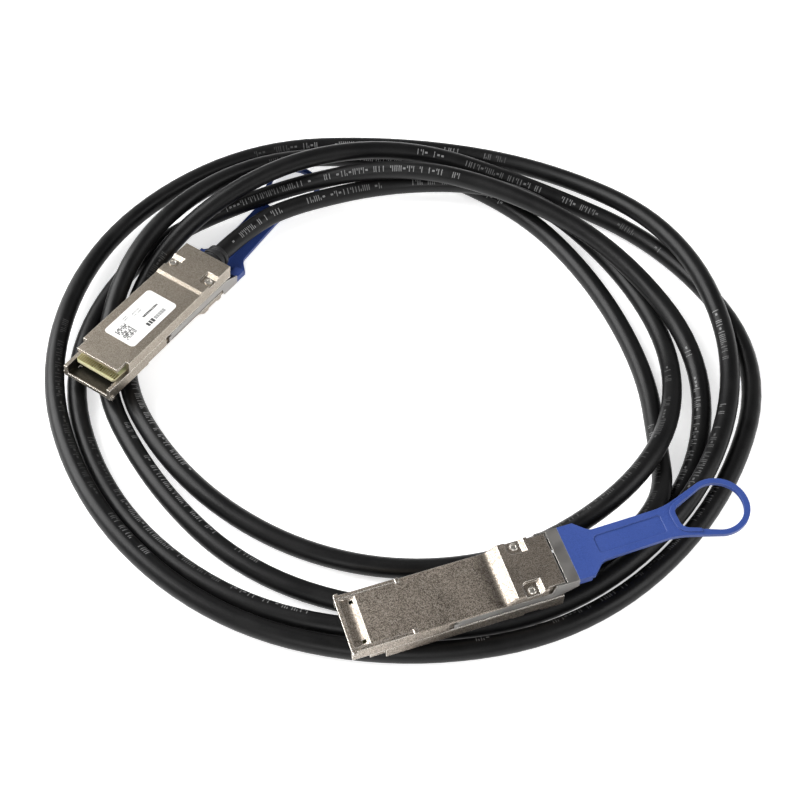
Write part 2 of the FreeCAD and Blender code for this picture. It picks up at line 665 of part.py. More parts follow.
def strain_relief(plug):
    """Three rings with two grooves between them."""
    body = new_body(plug + "_strain_relief", plug)
    ring = "boot_length * 0.22"
    gap = "boot_length * 0.17"
    groove = "boot_groove / 2"
    marks = ["body_length"]
    for step in (ring, gap, ring, gap):
        marks.append(marks[-1] + " + " + step)
    marks.append("body_length + boot_length")
    large = "boot_round / 2"
    small = "boot_small / 2"
    middle = "(boot_round + boot_small) / 4"
    turned(body, "rings", (
        (marks[0], "0"),
        (marks[0], large),
        (marks[1], large),
        (marks[1], groove),
        (marks[2], groove),
        (marks[2], middle),
        (marks[3], middle),
        (marks[3], groove),
        (marks[4], groove),
        (marks[4], small),
        (marks[5], small),
        (marks[5], "0"),
    ))
    return body


def rivets(plug):
    body = new_body(plug + "_rivets", plug)
    low = "pocket_depth - step_height"
    high = "rear_top - pocket_depth"
    shank = new_sketch(body, "shank_sketch", "XY_Plane", low)
    circle(shank, "rivet_back", "rivet_out", "rivet_shank")
    circle(shank, "rivet_back", "-rivet_out", "rivet_shank")
    add(body, "shanks", shank, high + " - (%s)" % low)
    for name, lift in (("lower_heads", low + " - head_height"), ("upper_heads", high)):
        heads = new_sketch(body, name + "_sketch", "XY_Plane", lift)
        circle(heads, "rivet_back", "rivet_out", "rivet_head")
        circle(heads, "rivet_back", "-rivet_out", "rivet_head")
        add(body, name, heads, "head_height")
    crown = size("rear_top") - size("pocket_depth") + size("head_height")
    crowns = []
    for number, edge in enumerate(own_shape(body).Edges, start=1):
        box_of = edge.BoundBox
        outer = abs(box_of.XLength - size("rivet_head")) < 0.01
        flat = box_of.ZLength < 0.001
        top = abs(box_of.ZMax - crown) < 0.01
        if outer and flat and top:
            crowns.append("Edge%d" % number)
    bevel_edges(body, "crowns", crowns, size("crown_bevel"))
    return body


def latch_slider(plug):
    """One stamped sheet: the bridge behind the castings, an arm along each side, a tongue in the tab."""
    body = new_body(plug + "_latch_slider", plug)
    outer = "arm_inside + sheet_thick"
    plate = (box("bridge_start", "bridge_end", "-(%s)" % outer, outer),)
    add_plates(body, "bridge", "bridge_top - sheet_thick", "sheet_thick", plate)
    joggle = (box("bridge_end - joggle_long", "bridge_end", "-tongue_half", "tongue_half"),)
    add_plates(body, "joggle", "tongue_low", "bridge_top - tongue_low", joggle)
    tongue = (box("bridge_end - joggle_long", "tongue_end", "-tongue_half", "tongue_half"),)
    add_plates(body, "tongue", "tongue_low", "sheet_thick", tongue)
    side = new_sketch(body, "arm_sketch", "XZ_Plane", "arm_inside")
    outline(side, (
        ("arm_start", "arm_low"),
        ("bridge_start - arm_rise", "arm_low"),
        ("bridge_end", "arm_top"),
        ("bridge_end", "bridge_top"),
        ("bridge_start - arm_crest", "bridge_top"),
        ("bridge_start - arm_shoulder", "arm_top"),
        ("arm_start", "arm_top"),
    ))
    arm = add(body, "arm", side, "sheet_thick")
    tip = new_sketch(body, "tip_sketch", "XZ_Plane", "arm_inside")
    outline(tip, box(
        "arm_start - tip_ahead", "arm_start + tip_behind", "arm_low + tip_edge", "arm_top - tip_edge",
    ))
    tip_pad = add(body, "latch_tip", tip, "tip_out - arm_inside")
    lug = new_sketch(body, "lug_sketch", "XZ_Plane", "spring_slot_in + lug_gap")
    outline(lug, box(
        "spring_slot + lug_start", "spring_slot + lug_start + lug_long",
        "spring_low + lug_gap", "spring_high - lug_gap",
    ))
    lug_pad = add(body, "spring_lug", lug, "arm_inside - spring_slot_in")
    mirror_across(body, "other_side", [arm, tip_pad, lug_pad])
    return body


def smooth_outline(sketch, corners):
    """A closed outline through corners given as x, y and the radius that rounds each of them."""
    count = len(corners)
    arcs = []
    for i, (x, y, radius) in enumerate(corners):
        corner = Vector(x, y, 0)
        back = Vector(corners[i - 1][0], corners[i - 1][1], 0) - corner
        ahead = Vector(corners[(i + 1) % count][0], corners[(i + 1) % count][1], 0) - corner
        back.normalize()
        ahead.normalize()
        half_turn = (math.pi - back.getAngle(ahead)) / 2
        setback = radius * math.tan(half_turn)
        inward = (back + ahead).normalize()
        reach = radius / math.cos(half_turn) - radius
        arcs.append((corner + back * setback, corner + inward * reach, corner + ahead * setback))
    parts = []
    for i in range(count):
        enter, middle, leave = arcs[i]
        if (enter - leave).Length > 1e-6:
            parts.append(Part.Arc(enter, middle, leave))
        after = arcs[(i + 1) % count][0]
        parts.append(Part.LineSegment(leave, after))
    sketch.addGeometry(parts, False)


def mirrored(half):
    """The corners of one side, then the same corners on the other side in the opposite order."""
    return list(half) + [(x, -y, radius) for x, y, radius in reversed(half)]


def strap_sketch(body, name, plug, height="0"):
    """A sketch on the strap's own plane, which turns about the bend, at a height above its underside."""
    bend = "tab_bend_" + plug[-1]
    lift = "tab_low + (%s) * cos(%s * 1 deg)" % (height, bend)
    start = "bend_at + (%s) * sin(%s * 1 deg)" % (height, bend)
    return new_sketch(body, name, "XY_Plane", lift, tilt=bend, start=start)


def pull_tab(plug):
    body = new_body(plug + "_pull_tab", plug)
    half = "tab_half"
    head = (box("bridge_end", "bend_at + 0.4", "-" + half, half),)
    add_plates(body, "head", "tab_low", "tab_thick", head)
    cheeks = both_sides("bridge_end", "bridge_end + cheek_long", "cheek_in", half)
    add_plates(body, "cheeks", "cheek_low", "tab_low - cheek_low + 0.3", cheeks)
    narrow = size("strap_half")
    wide = size("loop_half")
    strap = strap_sketch(body, "strap_sketch", plug)
    smooth_outline(strap, mirrored((
        (-0.8, size("tab_half"), 0),
        (0.4, size("tab_half"), 1.2),
        (4.3, narrow + 0.2, 3.4),
        (size("loop_start") - 13.5, narrow, 22.0),
        (size("loop_start"), wide, 7.0),
        (size("loop_end"), wide, wide - 0.2),
    )))
    add(body, "strap", strap, "tab_thick")
    # The finger hole, with a raised rib round the side of it that is nearer the plug.
    near = size("hole_start")
    hole_half = size("hole_half")
    rib = strap_sketch(body, "rib_sketch", plug)
    smooth_outline(rib, mirrored((
        (near - 1.5, 4.2, 3.9),
        (near + 5.0, hole_half - 1.4, 0.4),
    )))
    add(body, "rib", rib, "tab_thick + 0.5")
    hole = strap_sketch(body, "hole_sketch", plug)
    smooth_outline(hole, mirrored((
        (near, 3.3, 3.0),
        (size("loop_start"), hole_half, 6.0),
        (size("hole_end"), hole_half, hole_half - 0.2),
    )))
    cut(body, "finger_hole", hole, "tab_thick + 1", other_way=True)
    slot = new_sketch(body, "slot_sketch", "YZ_Plane", "bridge_end")
    outline(slot, box(
        "-tongue_half - tongue_play", "tongue_half + tongue_play",
        "tongue_low - tongue_slack", "tongue_low + sheet_thick + tongue_slack",
    ))
    cut(body, "tongue_slot", slot, "tongue_end - bridge_end + tongue_play", other_way=True)
    panel = strap_sketch(body, "panel_sketch", plug, "tab_thick - panel_depth")
    smooth_outline(panel, mirrored((
        (size("panel_start"), size("panel_half"), 1.2),
        (size("panel_end"), size("panel_half"), 0.8),
    )))
    cut(body, "panel", panel, "panel_depth + 0.2", other_way=True)
    return body


def return_springs(plug):
    """Two small coil springs, each between its slot's back end and the slider's lug."""
    turns = []
    for side in (-1, 1):
        helix = doc.addObject("Part::Helix", "%s_spring_path_%d" % (plug, side + 2))
        helix.setExpression("Pitch", cells("spring_pitch"))
        helix.setExpression("Height", cells("spring_free - spring_wire"))
        helix.setExpression("Radius", cells("spring_round / 2"))
        ring = doc.addObject("Part::RegularPolygon", "%s_spring_wire_%d" % (plug, side + 2))
        ring.Polygon = 4
        ring.setExpression("Circumradius", cells("spring_wire / 2 * 1.25"))
        ring.Placement = FreeCAD.Placement(
            Vector(size("spring_round") / 2, 0, 0), FreeCAD.Rotation(Vector(1, 0, 0), 90))
        coil = doc.addObject("Part::Sweep", "%s_spring_%d" % (plug, side + 2))
        coil.Sections = [ring]
        doc.recompute()
        names = ["Edge%d" % (i + 1) for i in range(len(helix.Shape.Edges))]
        coil.Spine = (helix, names)
        coil.Solid = True
        coil.Frenet = True
        doc.recompute()
        turns.append((side, coil))
    solids = []
    lug_back = size("spring_slot") + size("lug_start") + size("lug_long")
    slot_out = size("body_width") / 2 - size("recess_depth")
    for side, coil in turns:
        spot = Vector(
            lug_back + size("spring_wire") / 2 + size("spring_gap"),
            side * (size("spring_slot_in") + slot_out) / 2,
            (size("spring_low") + size("spring_high")) / 2,
        )
        shape = coil.Shape.copy()
        shape.Placement = FreeCAD.Placement(spot, FreeCAD.Rotation(Vector(0, 1, 0), 90))
        solids.append(shape)
    pair = doc.addObject("Part::Feature", plug + "_return_springs")
    pair.Label = plug + "_return_springs"
    pair.Shape = Part.makeCompound(solids)
    place(pair, plug)
    doc.recompute()
    return pair


def label(plug):
    body = new_body(plug + "_label", plug)
    paper = new_sketch(body, "paper_sketch", "XY_Plane", "-label_thick")
    front = size("label_back") - size("label_long") / 2
    back = size("label_back") + size("label_long") / 2
    side = size("label_wide") / 2
    corner = size("label_corner")
    smooth_outline(paper, mirrored(((front, side, corner), (back, side, corner))))
    add(body, "paper", paper, "label_thick")
    return body


# Radius and height of the cable at each point of its loose coil, twelve to a turn, from plug A to plug B.
COIL = (
    (80.0, 7.0), (82.5, 6.0), (86.0, 11.5), (88.5, 2.5), (91.0, 4.5), (90.0, 14.5),
    (80.8, 4.0), (76.0, 3.0), (76.0, 4.0), (81.5, 6.0), (93.0, 2.5), (98.5, 5.5),
    (92.5, 17.0), (93.5, 14.0), (94.5, 4.0), (107.5, 3.0), (119.0, 6.5), (112.0, 5.5),
    (109.0, 4.0), (104.0, 3.0), (107.0, 5.5), (110.0, 7.0), (116.0, 7.0), (119.5, 4.5),
    (114.0, 6.0), (103.5, 4.0), (104.5, 5.0), (110.0, 11.5), (110.0, 10.0), (106.0, 10.5),
    (101.5, 3.0), (97.0, 3.5), (100.0, 3.5), (104.0, 3.5), (109.5, 3.5), (105.5, 3.0),
    (90.5, 6.0), (83.0, 14.5), (79.5, 15.0), (86.5, 12.0), (100.0, 6.5), (103.0, 3.0),
    (93.0, 3.5), (90.5, 3.5), (89.0, 4.0), (89.0, 4.5), (100.0, 2.5), (104.0, 12.5),
    (105.5, 9.0), (96.5, 4.0), (84.0, 3.0), (76.0, 4.0), (80.0, 3.0),
)
# Then the cable leaves the coil and rises into plug B: across, along and height from the coil's middle.
APPROACH = (
    (80.8, -32.5, 4.0), (80.3, -47.2, 7.5), (75.6, -58.8, 11.1), (68.6, -67.6, 12.2),
)


def route_points(plug_a, plug_b):
    """The cable's route: out of plug A, round the coil, into plug B."""
    back = size("body_length") + size("boot_length")
    points = []
    for thing in (plug_a, plug_b):
        frame = thing.Placement
        end = frame.multVec(Vector(back, 0, size("exit_height")))
        beyond = frame.multVec(Vector(back + size(thing.Label[:6] + "_lead"), 0, size("exit_height")))
        points.append((end, beyond))
    route = [points[0][0], points[0][1]]
    for step, (radius, height) in enumerate(COIL):
        bearing = math.radians(size("first_bearing") - step * size("bearing_step"))
        x = size("coil_x") + radius * math.cos(bearing)
        y = size("coil_y") + radius * math.sin(bearing)
        route.append(Vector(x, y, height))
    for x, y, height in APPROACH:
        route.append(Vector(size("coil_x") + x, size("coil_y") + y, height))
    route.append(points[1][1])
    route.append(points[1][0])
    return route


def smooth_path(route):
    """Straight runs joined by tangent arcs, each arc as large as its two runs allow."""
    edges = []
    radii = []
    start = route[0]
    for before, corner, after in zip(route, route[1:], route[2:]):
        back = (before - corner).normalize()
        ahead = (after - corner).normalize()
        setback = 0.45 * min((corner - before).Length, (after - corner).Length)
        turn = math.pi - back.getAngle(ahead)
        radius = setback / math.tan(turn / 2)
        inward = (back + ahead).normalize()
        centre = corner + inward * (radius / math.cos(turn / 2))
        enter = corner + back * setback
        leave = corner + ahead * setback
        middle = centre - inward * radius
        edges.append(Part.LineSegment(start, enter).toShape())
        edges.append(Part.Arc(enter, middle, leave).toShape())
        radii.append(radius)
        start = leave
    edges.append(Part.LineSegment(start, route[-1]).toShape())
    return Part.Wire(edges), radii


def cable(plug_a, plug_b):
    route = route_points(plug_a, plug_b)
    wire, radii = smooth_path(route)
    path = doc.addObject("Part::Feature", "cable_path")
    path.Shape = wire
    jacket = doc.addObject("Part::Circle", "cable_section")
    jacket.setExpression("Radius", cells("cable_round / 2"))
    heading = (route[1] - route[0]).normalize()
    jacket.Placement = FreeCAD.Placement(route[0], FreeCAD.Rotation(Vector(0, 0, 1), heading))
    tube = doc.addObject("Part::Sweep", "cable")
    tube.Label = "cable"
    tube.Sections = [jacket]
    tube.Spine = (path, ["Edge%d" % (i + 1) for i in range(len(wire.Edges))])
    tube.Solid = True
    tube.Frenet = False
    doc.recompute()
    section = math.pi * size("cable_round") ** 2 / 4
    print("cable length %.1f, volume %.0f, section by length %.0f"
          % (wire.Length, tube.Shape.Volume, section * wire.Length))
    runs = [(b - a).Length for a, b in zip(route, route[1:])]
    print("runs %.1f to %.1f, smallest radius %.1f" % (min(runs), max(runs), min(radii)))
    print("radii " + " ".join("%.0f" % radius for radius in radii))
    low = min(point.z for point in wire.discretize(4000)) - size("cable_round") / 2
    print("lowest point of the cable %.3f" % low)
    return tube


MAKERS = (
    latch_shell, label_shell, paddle_card, contact_pads, memory_chip, wire_pairs,
    cable_ferrule, strain_relief, rivets, latch_slider, pull_tab, return_springs,
)
pieces = []
shells = {}
for plug in ("plug_a", "plug_b"):
    for maker in MAKERS:
        piece = maker(plug)
        pieces.append(piece)
        if maker is latch_shell:
            shells[plug] = piece
pieces.append(label("plug_a"))
doc.recompute()
pieces.append(cable(shells["plug_a"], shells["plug_b"]))
doc.recompute()

for thing in doc.Objects:
    if "Invalid" in thing.State or "Error" in thing.State:
        raise ValueError("%s is %s" % (thing.Label, thing.State))
for piece in pieces:
    shape = piece.Shape
    if shape.isNull() or not shape.isValid():
        raise ValueError("%s has no valid shape" % piece.Label)
    if shape.Volume <= 0:
        raise ValueError("%s has no volume" % piece.Label)
for piece in pieces:
    piece.Shape.exportStep("parts/%s.step" % piece.Label)
    box_of = piece.Shape.BoundBox
    print("%-24s %2d solids %9.1f mm3  z %6.2f to %6.2f"
          % (piece.Label, len(piece.Shape.Solids), piece.Shape.Volume, box_of.ZMin, box_of.ZMax))
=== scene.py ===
# A direct attach copper cable: two plugs with blue pull tabs on one black twin-axial cable,
# lying in a coil. The plugs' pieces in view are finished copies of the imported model's nodes, a
# few inner nodes stay and are repainted, and the cable is a smooth curve along its route.
# Lengths are in metres.

import math

import bmesh
import bpy
from mathutils import Matrix, Vector


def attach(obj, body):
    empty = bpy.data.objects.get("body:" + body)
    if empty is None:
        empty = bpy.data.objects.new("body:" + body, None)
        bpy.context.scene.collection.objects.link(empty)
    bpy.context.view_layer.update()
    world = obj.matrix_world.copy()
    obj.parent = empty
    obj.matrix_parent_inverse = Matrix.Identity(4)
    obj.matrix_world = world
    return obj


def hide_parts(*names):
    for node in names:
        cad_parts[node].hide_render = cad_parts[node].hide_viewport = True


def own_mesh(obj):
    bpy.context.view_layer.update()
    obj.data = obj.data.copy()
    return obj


MM = 0.001

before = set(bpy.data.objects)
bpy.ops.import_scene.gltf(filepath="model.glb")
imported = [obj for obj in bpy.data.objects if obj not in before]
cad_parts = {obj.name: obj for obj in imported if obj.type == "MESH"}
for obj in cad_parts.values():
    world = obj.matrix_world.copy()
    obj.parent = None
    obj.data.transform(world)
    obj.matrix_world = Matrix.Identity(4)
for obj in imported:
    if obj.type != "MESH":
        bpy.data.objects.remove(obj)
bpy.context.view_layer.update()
scene = bpy.context.scene

# Where each plug's nose lies, and its yaw, pitch and roll in degrees.
PLUGS = {
    "plug_a": ((-0.09456, -0.00325, 0.01888), (58.0, 6.0, 183.0)),
    "plug_b": ((-0.01241, -0.09037, 0.0076), (18.5, 0.0, 0.0)),
}

# The body of each plug's slider and pull tab.
LATCH = {"plug_a": "latch_a", "plug_b": "latch_b"}

JACKET_ROUND = 0.0063

# The cable's route, from the strain relief of plug A round the coil to that of plug B.
ROUTE = (
    (-0.05834, 0.05517, 0.00704), (-0.05096, 0.06698, 0.00557), (-0.03636, 0.07803, 0.00700),
    (0.00364, 0.09125, 0.00600), (0.04664, 0.08323, 0.01150), (0.08028, 0.05300, 0.00250),
    (0.09464, 0.00875, 0.00450), (0.08158, -0.03625, 0.01450), (0.04404, -0.06122, 0.00400),
    (0.00364, -0.06725, 0.00300), (-0.03436, -0.05707, 0.00400), (-0.06694, -0.03200, 0.00600),
    (-0.08936, 0.00875, 0.00250), (-0.08166, 0.05800, 0.00550), (-0.04261, 0.08886, 0.01700),
    (0.00364, 0.10225, 0.01400), (0.05089, 0.09059, 0.00400), (0.09674, 0.06250, 0.00300),
    (0.12264, 0.00875, 0.00650), (0.10063, -0.04725, 0.00550), (0.05814, -0.08565, 0.00400),
    (0.00364, -0.09525, 0.00300), (-0.04986, -0.08391, 0.00550), (-0.09162, -0.04625, 0.00700),
    (-0.11236, 0.00875, 0.00700), (-0.09985, 0.06850, 0.00450), (-0.05336, 0.10748, 0.00600),
    (0.00364, 0.11225, 0.00400), (0.05589, 0.09925, 0.00500), (0.09890, 0.06375, 0.01150),
    (0.11364, 0.00875, 0.01000), (0.09544, -0.04425, 0.01050), (0.05439, -0.07915, 0.00300),
    (0.00364, -0.08825, 0.00350), (-0.04636, -0.07785, 0.00350), (-0.08643, -0.04325, 0.00350),
    (-0.10586, 0.00875, 0.00350), (-0.08773, 0.06150, 0.00300), (-0.04161, 0.08713, 0.00600),
    (0.00364, 0.09175, 0.01450), (0.04339, 0.07760, 0.01500), (0.07855, 0.05200, 0.01200),
    (0.10364, 0.00875, 0.00650), (0.09284, -0.04275, 0.00300), (0.05014, -0.07179, 0.00350),
    (0.00364, -0.08175, 0.00350), (-0.04086, -0.06833, 0.00400), (-0.07344, -0.03575, 0.00450),
    (-0.09636, 0.00875, 0.00250), (-0.08643, 0.06075, 0.01250), (-0.04911, 0.10012, 0.00900),
    (0.00364, 0.10525, 0.00400), (0.04564, 0.08150, 0.00300), (0.06946, 0.04675, 0.00400),
    (0.08364, 0.00875, 0.00300), (0.08444, -0.02375, 0.00400), (0.08394, -0.03845, 0.00750),
    (0.07924, -0.05005, 0.01110), (0.07224, -0.05885, 0.01220), (0.06346, -0.06499, 0.01220),
    (0.05359, -0.06829, 0.01220),
)


def plug_frame(plug):
    """From a plug's own axes, with the nose at the origin and +X to the cable, to the object's."""
    nose, (yaw, pitch, roll) = PLUGS[plug]
    turn = Matrix.Rotation(math.radians(yaw), 4, "Z")
    turn = turn @ Matrix.Rotation(math.radians(pitch), 4, "Y")
    turn = turn @ Matrix.Rotation(math.radians(roll), 4, "X")
    return Matrix.Translation(nose) @ turn


# ---- The view and the cable --------------------------------------------------------------


# The camera's lens and sensor in millimetres, the nearest that it sees, the point that it
# looks at, and where it stands from there.
LENS_LENGTH = 64.9
SENSOR_WIDTH = 36.0
NEAREST_SEEN = 0.01
LOOKED_AT = Vector((0.00364, -0.00125, 0.0))
CAMERA_STAND = Vector((0.0, -0.2745, 0.3778))

# How finely the jacket is divided: along it from one route point to the next, and round it.
LINE_STEPS = 10
ROUND_STEPS = 7


def new_object(name, data):
    """A new object in the scene, at the origin."""
    thing = bpy.data.objects.new(name, data)
    scene.collection.objects.link(thing)
    return thing


def aim(thing, place, target):
    """Stands a camera or a lamp at a place, turned towards the target."""
    thing.location = place
    thing.rotation_euler = (target - place).to_track_quat("-Z", "Y").to_euler()


def set_camera():
    """The camera stands in front of the coil and looks down on it."""
    lens = bpy.data.cameras.new("camera")
    lens.lens = LENS_LENGTH
    lens.sensor_width = SENSOR_WIDTH
    lens.clip_start = NEAREST_SEEN
    camera = new_object("camera", lens)
    aim(camera, LOOKED_AT + CAMERA_STAND, LOOKED_AT)
    scene.camera = camera


def cable_line(name):
    """A curve with the cable's route as its one smooth spline."""
    curve = bpy.data.curves.new(name, "CURVE")
    curve.dimensions = "3D"
    line = curve.splines.new("NURBS")
    line.points.add(len(ROUTE) - 1)
    for point, place in zip(line.points, ROUTE):
        point.co = (*place, 1.0)
    line.order_u = 3
    line.use_endpoint_u = True
    line.resolution_u = LINE_STEPS
    return new_object(name, curve)


def lay_cable():
    """The round jacket along the route."""
    jacket = cable_line("cable_jacket")
    jacket.data.bevel_depth = JACKET_ROUND / 2
    jacket.data.bevel_resolution = ROUND_STEPS
    jacket.data.use_fill_caps = True
    jacket.data.materials.append(jacket_black())
    return jacket


# ---- Laying out nodes --------------------------------------------------------------------


NODE_SPACING = 180

# A colour mix and a random number have several sockets of one name, so theirs go by number.
MIX_SHARE, MIX_FIRST, MIX_SECOND, MIX_COLOUR = 0, 6, 7, 2
RANDOM_LOW, RANDOM_HIGH, RANDOM_NUMBER = 2, 3, 1

SOCKET_KINDS = {
    "value": "NodeSocketFloat",
    "colour": "NodeSocketColor",
    "vector": "NodeSocketVector",
}


class Bench:
    """Adds nodes to one tree. A socket as a value is linked, and anything else is set."""

    def __init__(self, tree):
        self.tree = tree

    def feed(self, socket, value):
        """Gives one socket its value."""
        if isinstance(value, bpy.types.NodeSocket):
            self.tree.links.new(value, socket)
        else:
            socket.default_value = value

    def fill(self, node, sockets):
        """Feeds several sockets of a node, each by its name."""
        for key, value in sockets.items():
            self.feed(node.inputs[key], value)

    def add(self, kind, sockets=None, **settings):
        """A new node, with its settings made and its sockets fed."""
        node = self.tree.nodes.new(kind)
        node.location = (len(self.tree.nodes) * NODE_SPACING, 0)
        for name, value in settings.items():
            setattr(node, name, value)
        self.fill(node, sockets or {})
        return node

    def maths(self, operation, *values):
        """A number worked out from others."""
        node = self.add("ShaderNodeMath", operation=operation)
        for socket, value in zip(node.inputs, values):
            self.feed(socket, value)
        return node.outputs[0]

    def times(self, first, second):
        """Two numbers multiplied."""
        return self.maths("MULTIPLY", first, second)

    def vector(self, operation, *values):
        """A vector worked out from others, or the number of a dot product."""
        node = self.add("ShaderNodeVectorMath", operation=operation)
        for socket, value in zip(node.inputs, values):
            self.feed(socket, value)
        return node.outputs["Value" if operation == "DOT_PRODUCT" else "Vector"]

    def scaled(self, direction, share):
        """A vector made longer or shorter."""
        node = self.add("ShaderNodeVectorMath", operation="SCALE")
        self.feed(node.inputs[0], direction)
        self.feed(node.inputs["Scale"], share)
        return node.outputs["Vector"]

    def axes(self, **sockets):
        """A vector put together from its X, Y and Z."""
        return self.add("ShaderNodeCombineXYZ", sockets).outputs["Vector"]

    def spread(self, value, low, high, to_low=0.0, to_high=1.0):
        """Maps value from low..high to to_low..to_high, and stops at both ends."""
        return self.add("ShaderNodeMapRange", {
            "Value": value, "From Min": low, "From Max": high, "To Min": to_low, "To Max": to_high,
        }).outputs["Result"]

    def between(self, share, low, high):
        """A number that is low at share 0 and high at share 1."""
        return self.spread(share, 0.0, 1.0, low, high)

    def tint(self, share, first, second):
        """Two colours mixed: the first at share 0, the second at share 1."""
        node = self.add("ShaderNodeMix", data_type="RGBA")
        self.feed(node.inputs[MIX_SHARE], share)
        self.feed(node.inputs[MIX_FIRST], first)
        self.feed(node.inputs[MIX_SECOND], second)
        return node.outputs[MIX_COLOUR]

    def noise(self, place, scale, detail=2.0, roughness=0.5):
        """Soft noise from 0 to 1, with more and finer waves at a larger scale."""
        return self.add("ShaderNodeTexNoise", {
            "Vector": place, "Scale": scale, "Detail": detail, "Roughness": roughness,
        }).outputs["Fac"]


def colour(red, green, blue):
    """An opaque colour."""
    return (red, green, blue, 1.0)


def effect(name, inputs, outputs):
    """A new shader node group, its bench, what it is given, and its end node."""
    group = bpy.data.node_groups.new(name, "ShaderNodeTree")
    for side, sockets in (("INPUT", inputs), ("OUTPUT", outputs)):
        for label, kind in sockets.items():
            group.interface.new_socket(name=label, in_out=side, socket_type=SOCKET_KINDS[kind])
    bench = Bench(group)
    given = bench.add("NodeGroupInput").outputs
    return group, bench, given, bench.add("NodeGroupOutput")


def use(bench, group, sockets):
    """Places an effect in a material with its own values, and returns what it puts out."""
    return bench.add("ShaderNodeGroup", sockets, node_tree=group).outputs


def plain_finish(name):
    """A new material, its bench and its principled shader."""
    material = bpy.data.materials.new(name)
    material.use_nodes = True
    tree = material.node_tree
    return material, Bench(tree), tree.nodes["Principled BSDF"]


def finish(name):
    """A new material, its bench, its principled shader and its place on the object."""
    material, bench, shader = plain_finish(name)
    return material, bench, shader, bench.add("ShaderNodeTexCoord").outputs["Object"]


def bump(bench, height, depth, normal=None):
    """A surface normal from a height of the given depth."""
    sockets = {"Height": height, "Distance": depth, "Strength": 1.0}
    if normal is not None:
        sockets["Normal"] = normal
    return bench.add("ShaderNodeBump", sockets).outputs["Normal"]


# ---- Effects that several finishes share -------------------------------------------------


def make_grain():
    """A fine speckled skin: a colour between dark and light, its height, and its specks."""
    group, bench, given, end = effect(
        "Grain",
        {"Place": "vector", "Size": "value", "Dark": "colour", "Light": "colour"},
        {"Colour": "colour", "Height": "value", "Speck": "value"},
    )
    coarse_scale, fine_part, coarse_part = 0.3, 0.84, 0.16
    tone_range, speck_range = (0.36, 0.64), (0.58, 0.74)
    scale = bench.maths("DIVIDE", 1.0, given["Size"])
    fine = bench.noise(given["Place"], scale, detail=3.0, roughness=0.65)
    coarse = bench.noise(given["Place"], bench.times(scale, coarse_scale))
    height = bench.maths("ADD", bench.times(fine, fine_part), bench.times(coarse, coarse_part))
    tone = bench.spread(height, *tone_range)
    bench.fill(end, {
        "Colour": bench.tint(tone, given["Dark"], given["Light"]),
        "Height": height,
        "Speck": bench.spread(fine, *speck_range),
    })
    return group


def make_worn_edge():
    """Rounds the edges in the shading, and masks them where handling has polished them; on the
    castings the mask also lays a painted highlight.
    """
    group, bench, given, end = effect(
        "Worn Edge",
        {"Place": "vector", "Round": "value", "Patchiness": "value"},
        {"Edge": "value", "Normal": "vector"},
    )
    bend_range, patch_range, patch_scale = (0.004, 0.08), (0.35, 0.6), 900.0
    bevel = bench.add("ShaderNodeBevel", {"Radius": given["Round"]}, samples=6)
    rounded = bevel.outputs["Normal"]
    flat = bench.add("ShaderNodeNewGeometry").outputs["Normal"]
    bend = bench.maths("SUBTRACT", 1.0, bench.vector("DOT_PRODUCT", rounded, flat))
    patch = bench.spread(bench.noise(given["Place"], patch_scale), *patch_range)
    unworn = bench.times(given["Patchiness"], bench.maths("SUBTRACT", 1.0, patch))
    kept = bench.maths("SUBTRACT", 1.0, unworn)
    bench.fill(end, {
        "Edge": bench.times(bench.spread(bend, *bend_range), kept),
        "Normal": rounded,
    })
    return group


def make_handling():
    """Faint smudges, and fine scratches that run along one direction."""
    group, bench, given, end = effect(
        "Handling",
        {"Place": "vector", "Smudge Size": "value", "Along": "vector"},
        {"Smudge": "value", "Scratch": "value"},
    )
    smudge_range, scratch_range = (0.38, 0.68), (0.5, 0.75)
    scratch_scale, drawn_out = 5200.0, 0.965
    smudge_scale = bench.maths("DIVIDE", 1.0, given["Smudge Size"])
    cloud = bench.noise(given["Place"], smudge_scale, detail=4.0, roughness=0.6)
    run = bench.vector("DOT_PRODUCT", given["Place"], given["Along"])
    slip = bench.scaled(given["Along"], bench.times(run, drawn_out))
    hair = bench.noise(
        bench.vector("SUBTRACT", given["Place"], slip), scratch_scale, roughness=0.6
    )
    bench.fill(end, {
        "Smudge": bench.spread(cloud, *smudge_range),
        "Scratch": bench.spread(hair, *scratch_range),
    })
    return group


GRAIN = make_grain()
WORN_EDGE = make_worn_edge()
HANDLING = make_handling()


# ---- Finishes ----------------------------------------------------------------------------


# The dark and light tone of each plug's castings. The two plugs are one and the same casting: plug
# B's far darker dark tone is painted shade.
CASTING_TONES_AND_PAINTED_SHADE = {
    "plug_a": (colour(0.27, 0.235, 0.19), colour(0.5, 0.44, 0.365)),
    "plug_b": (colour(0.1, 0.083, 0.068), colour(0.5, 0.435, 0.365)),
}

# Where a casting is painted near black as painted shade, in the plug's own axes: inside the mouth,
# from behind its front rim, between the side walls and under the roof; and in the hollow at the
# ramp's foot.
MOUTH_RIM = (0.35 * MM, 0.6 * MM)
MOUTH_SIDE = 7.95 * MM
MOUTH_FLOOR = 1.4 * MM
MOUTH_ROOF = 7.28 * MM
HOLLOW_FRONT = (40.5 * MM, 44.6 * MM)
HOLLOW_BACK = (45.3 * MM, 46.0 * MM)
HOLLOW_FLOOR = 8.3 * MM

# Smudges and scratches without a direction of their own run along the object's X.
ALONG_X = (1.0, 0.0, 0.0)


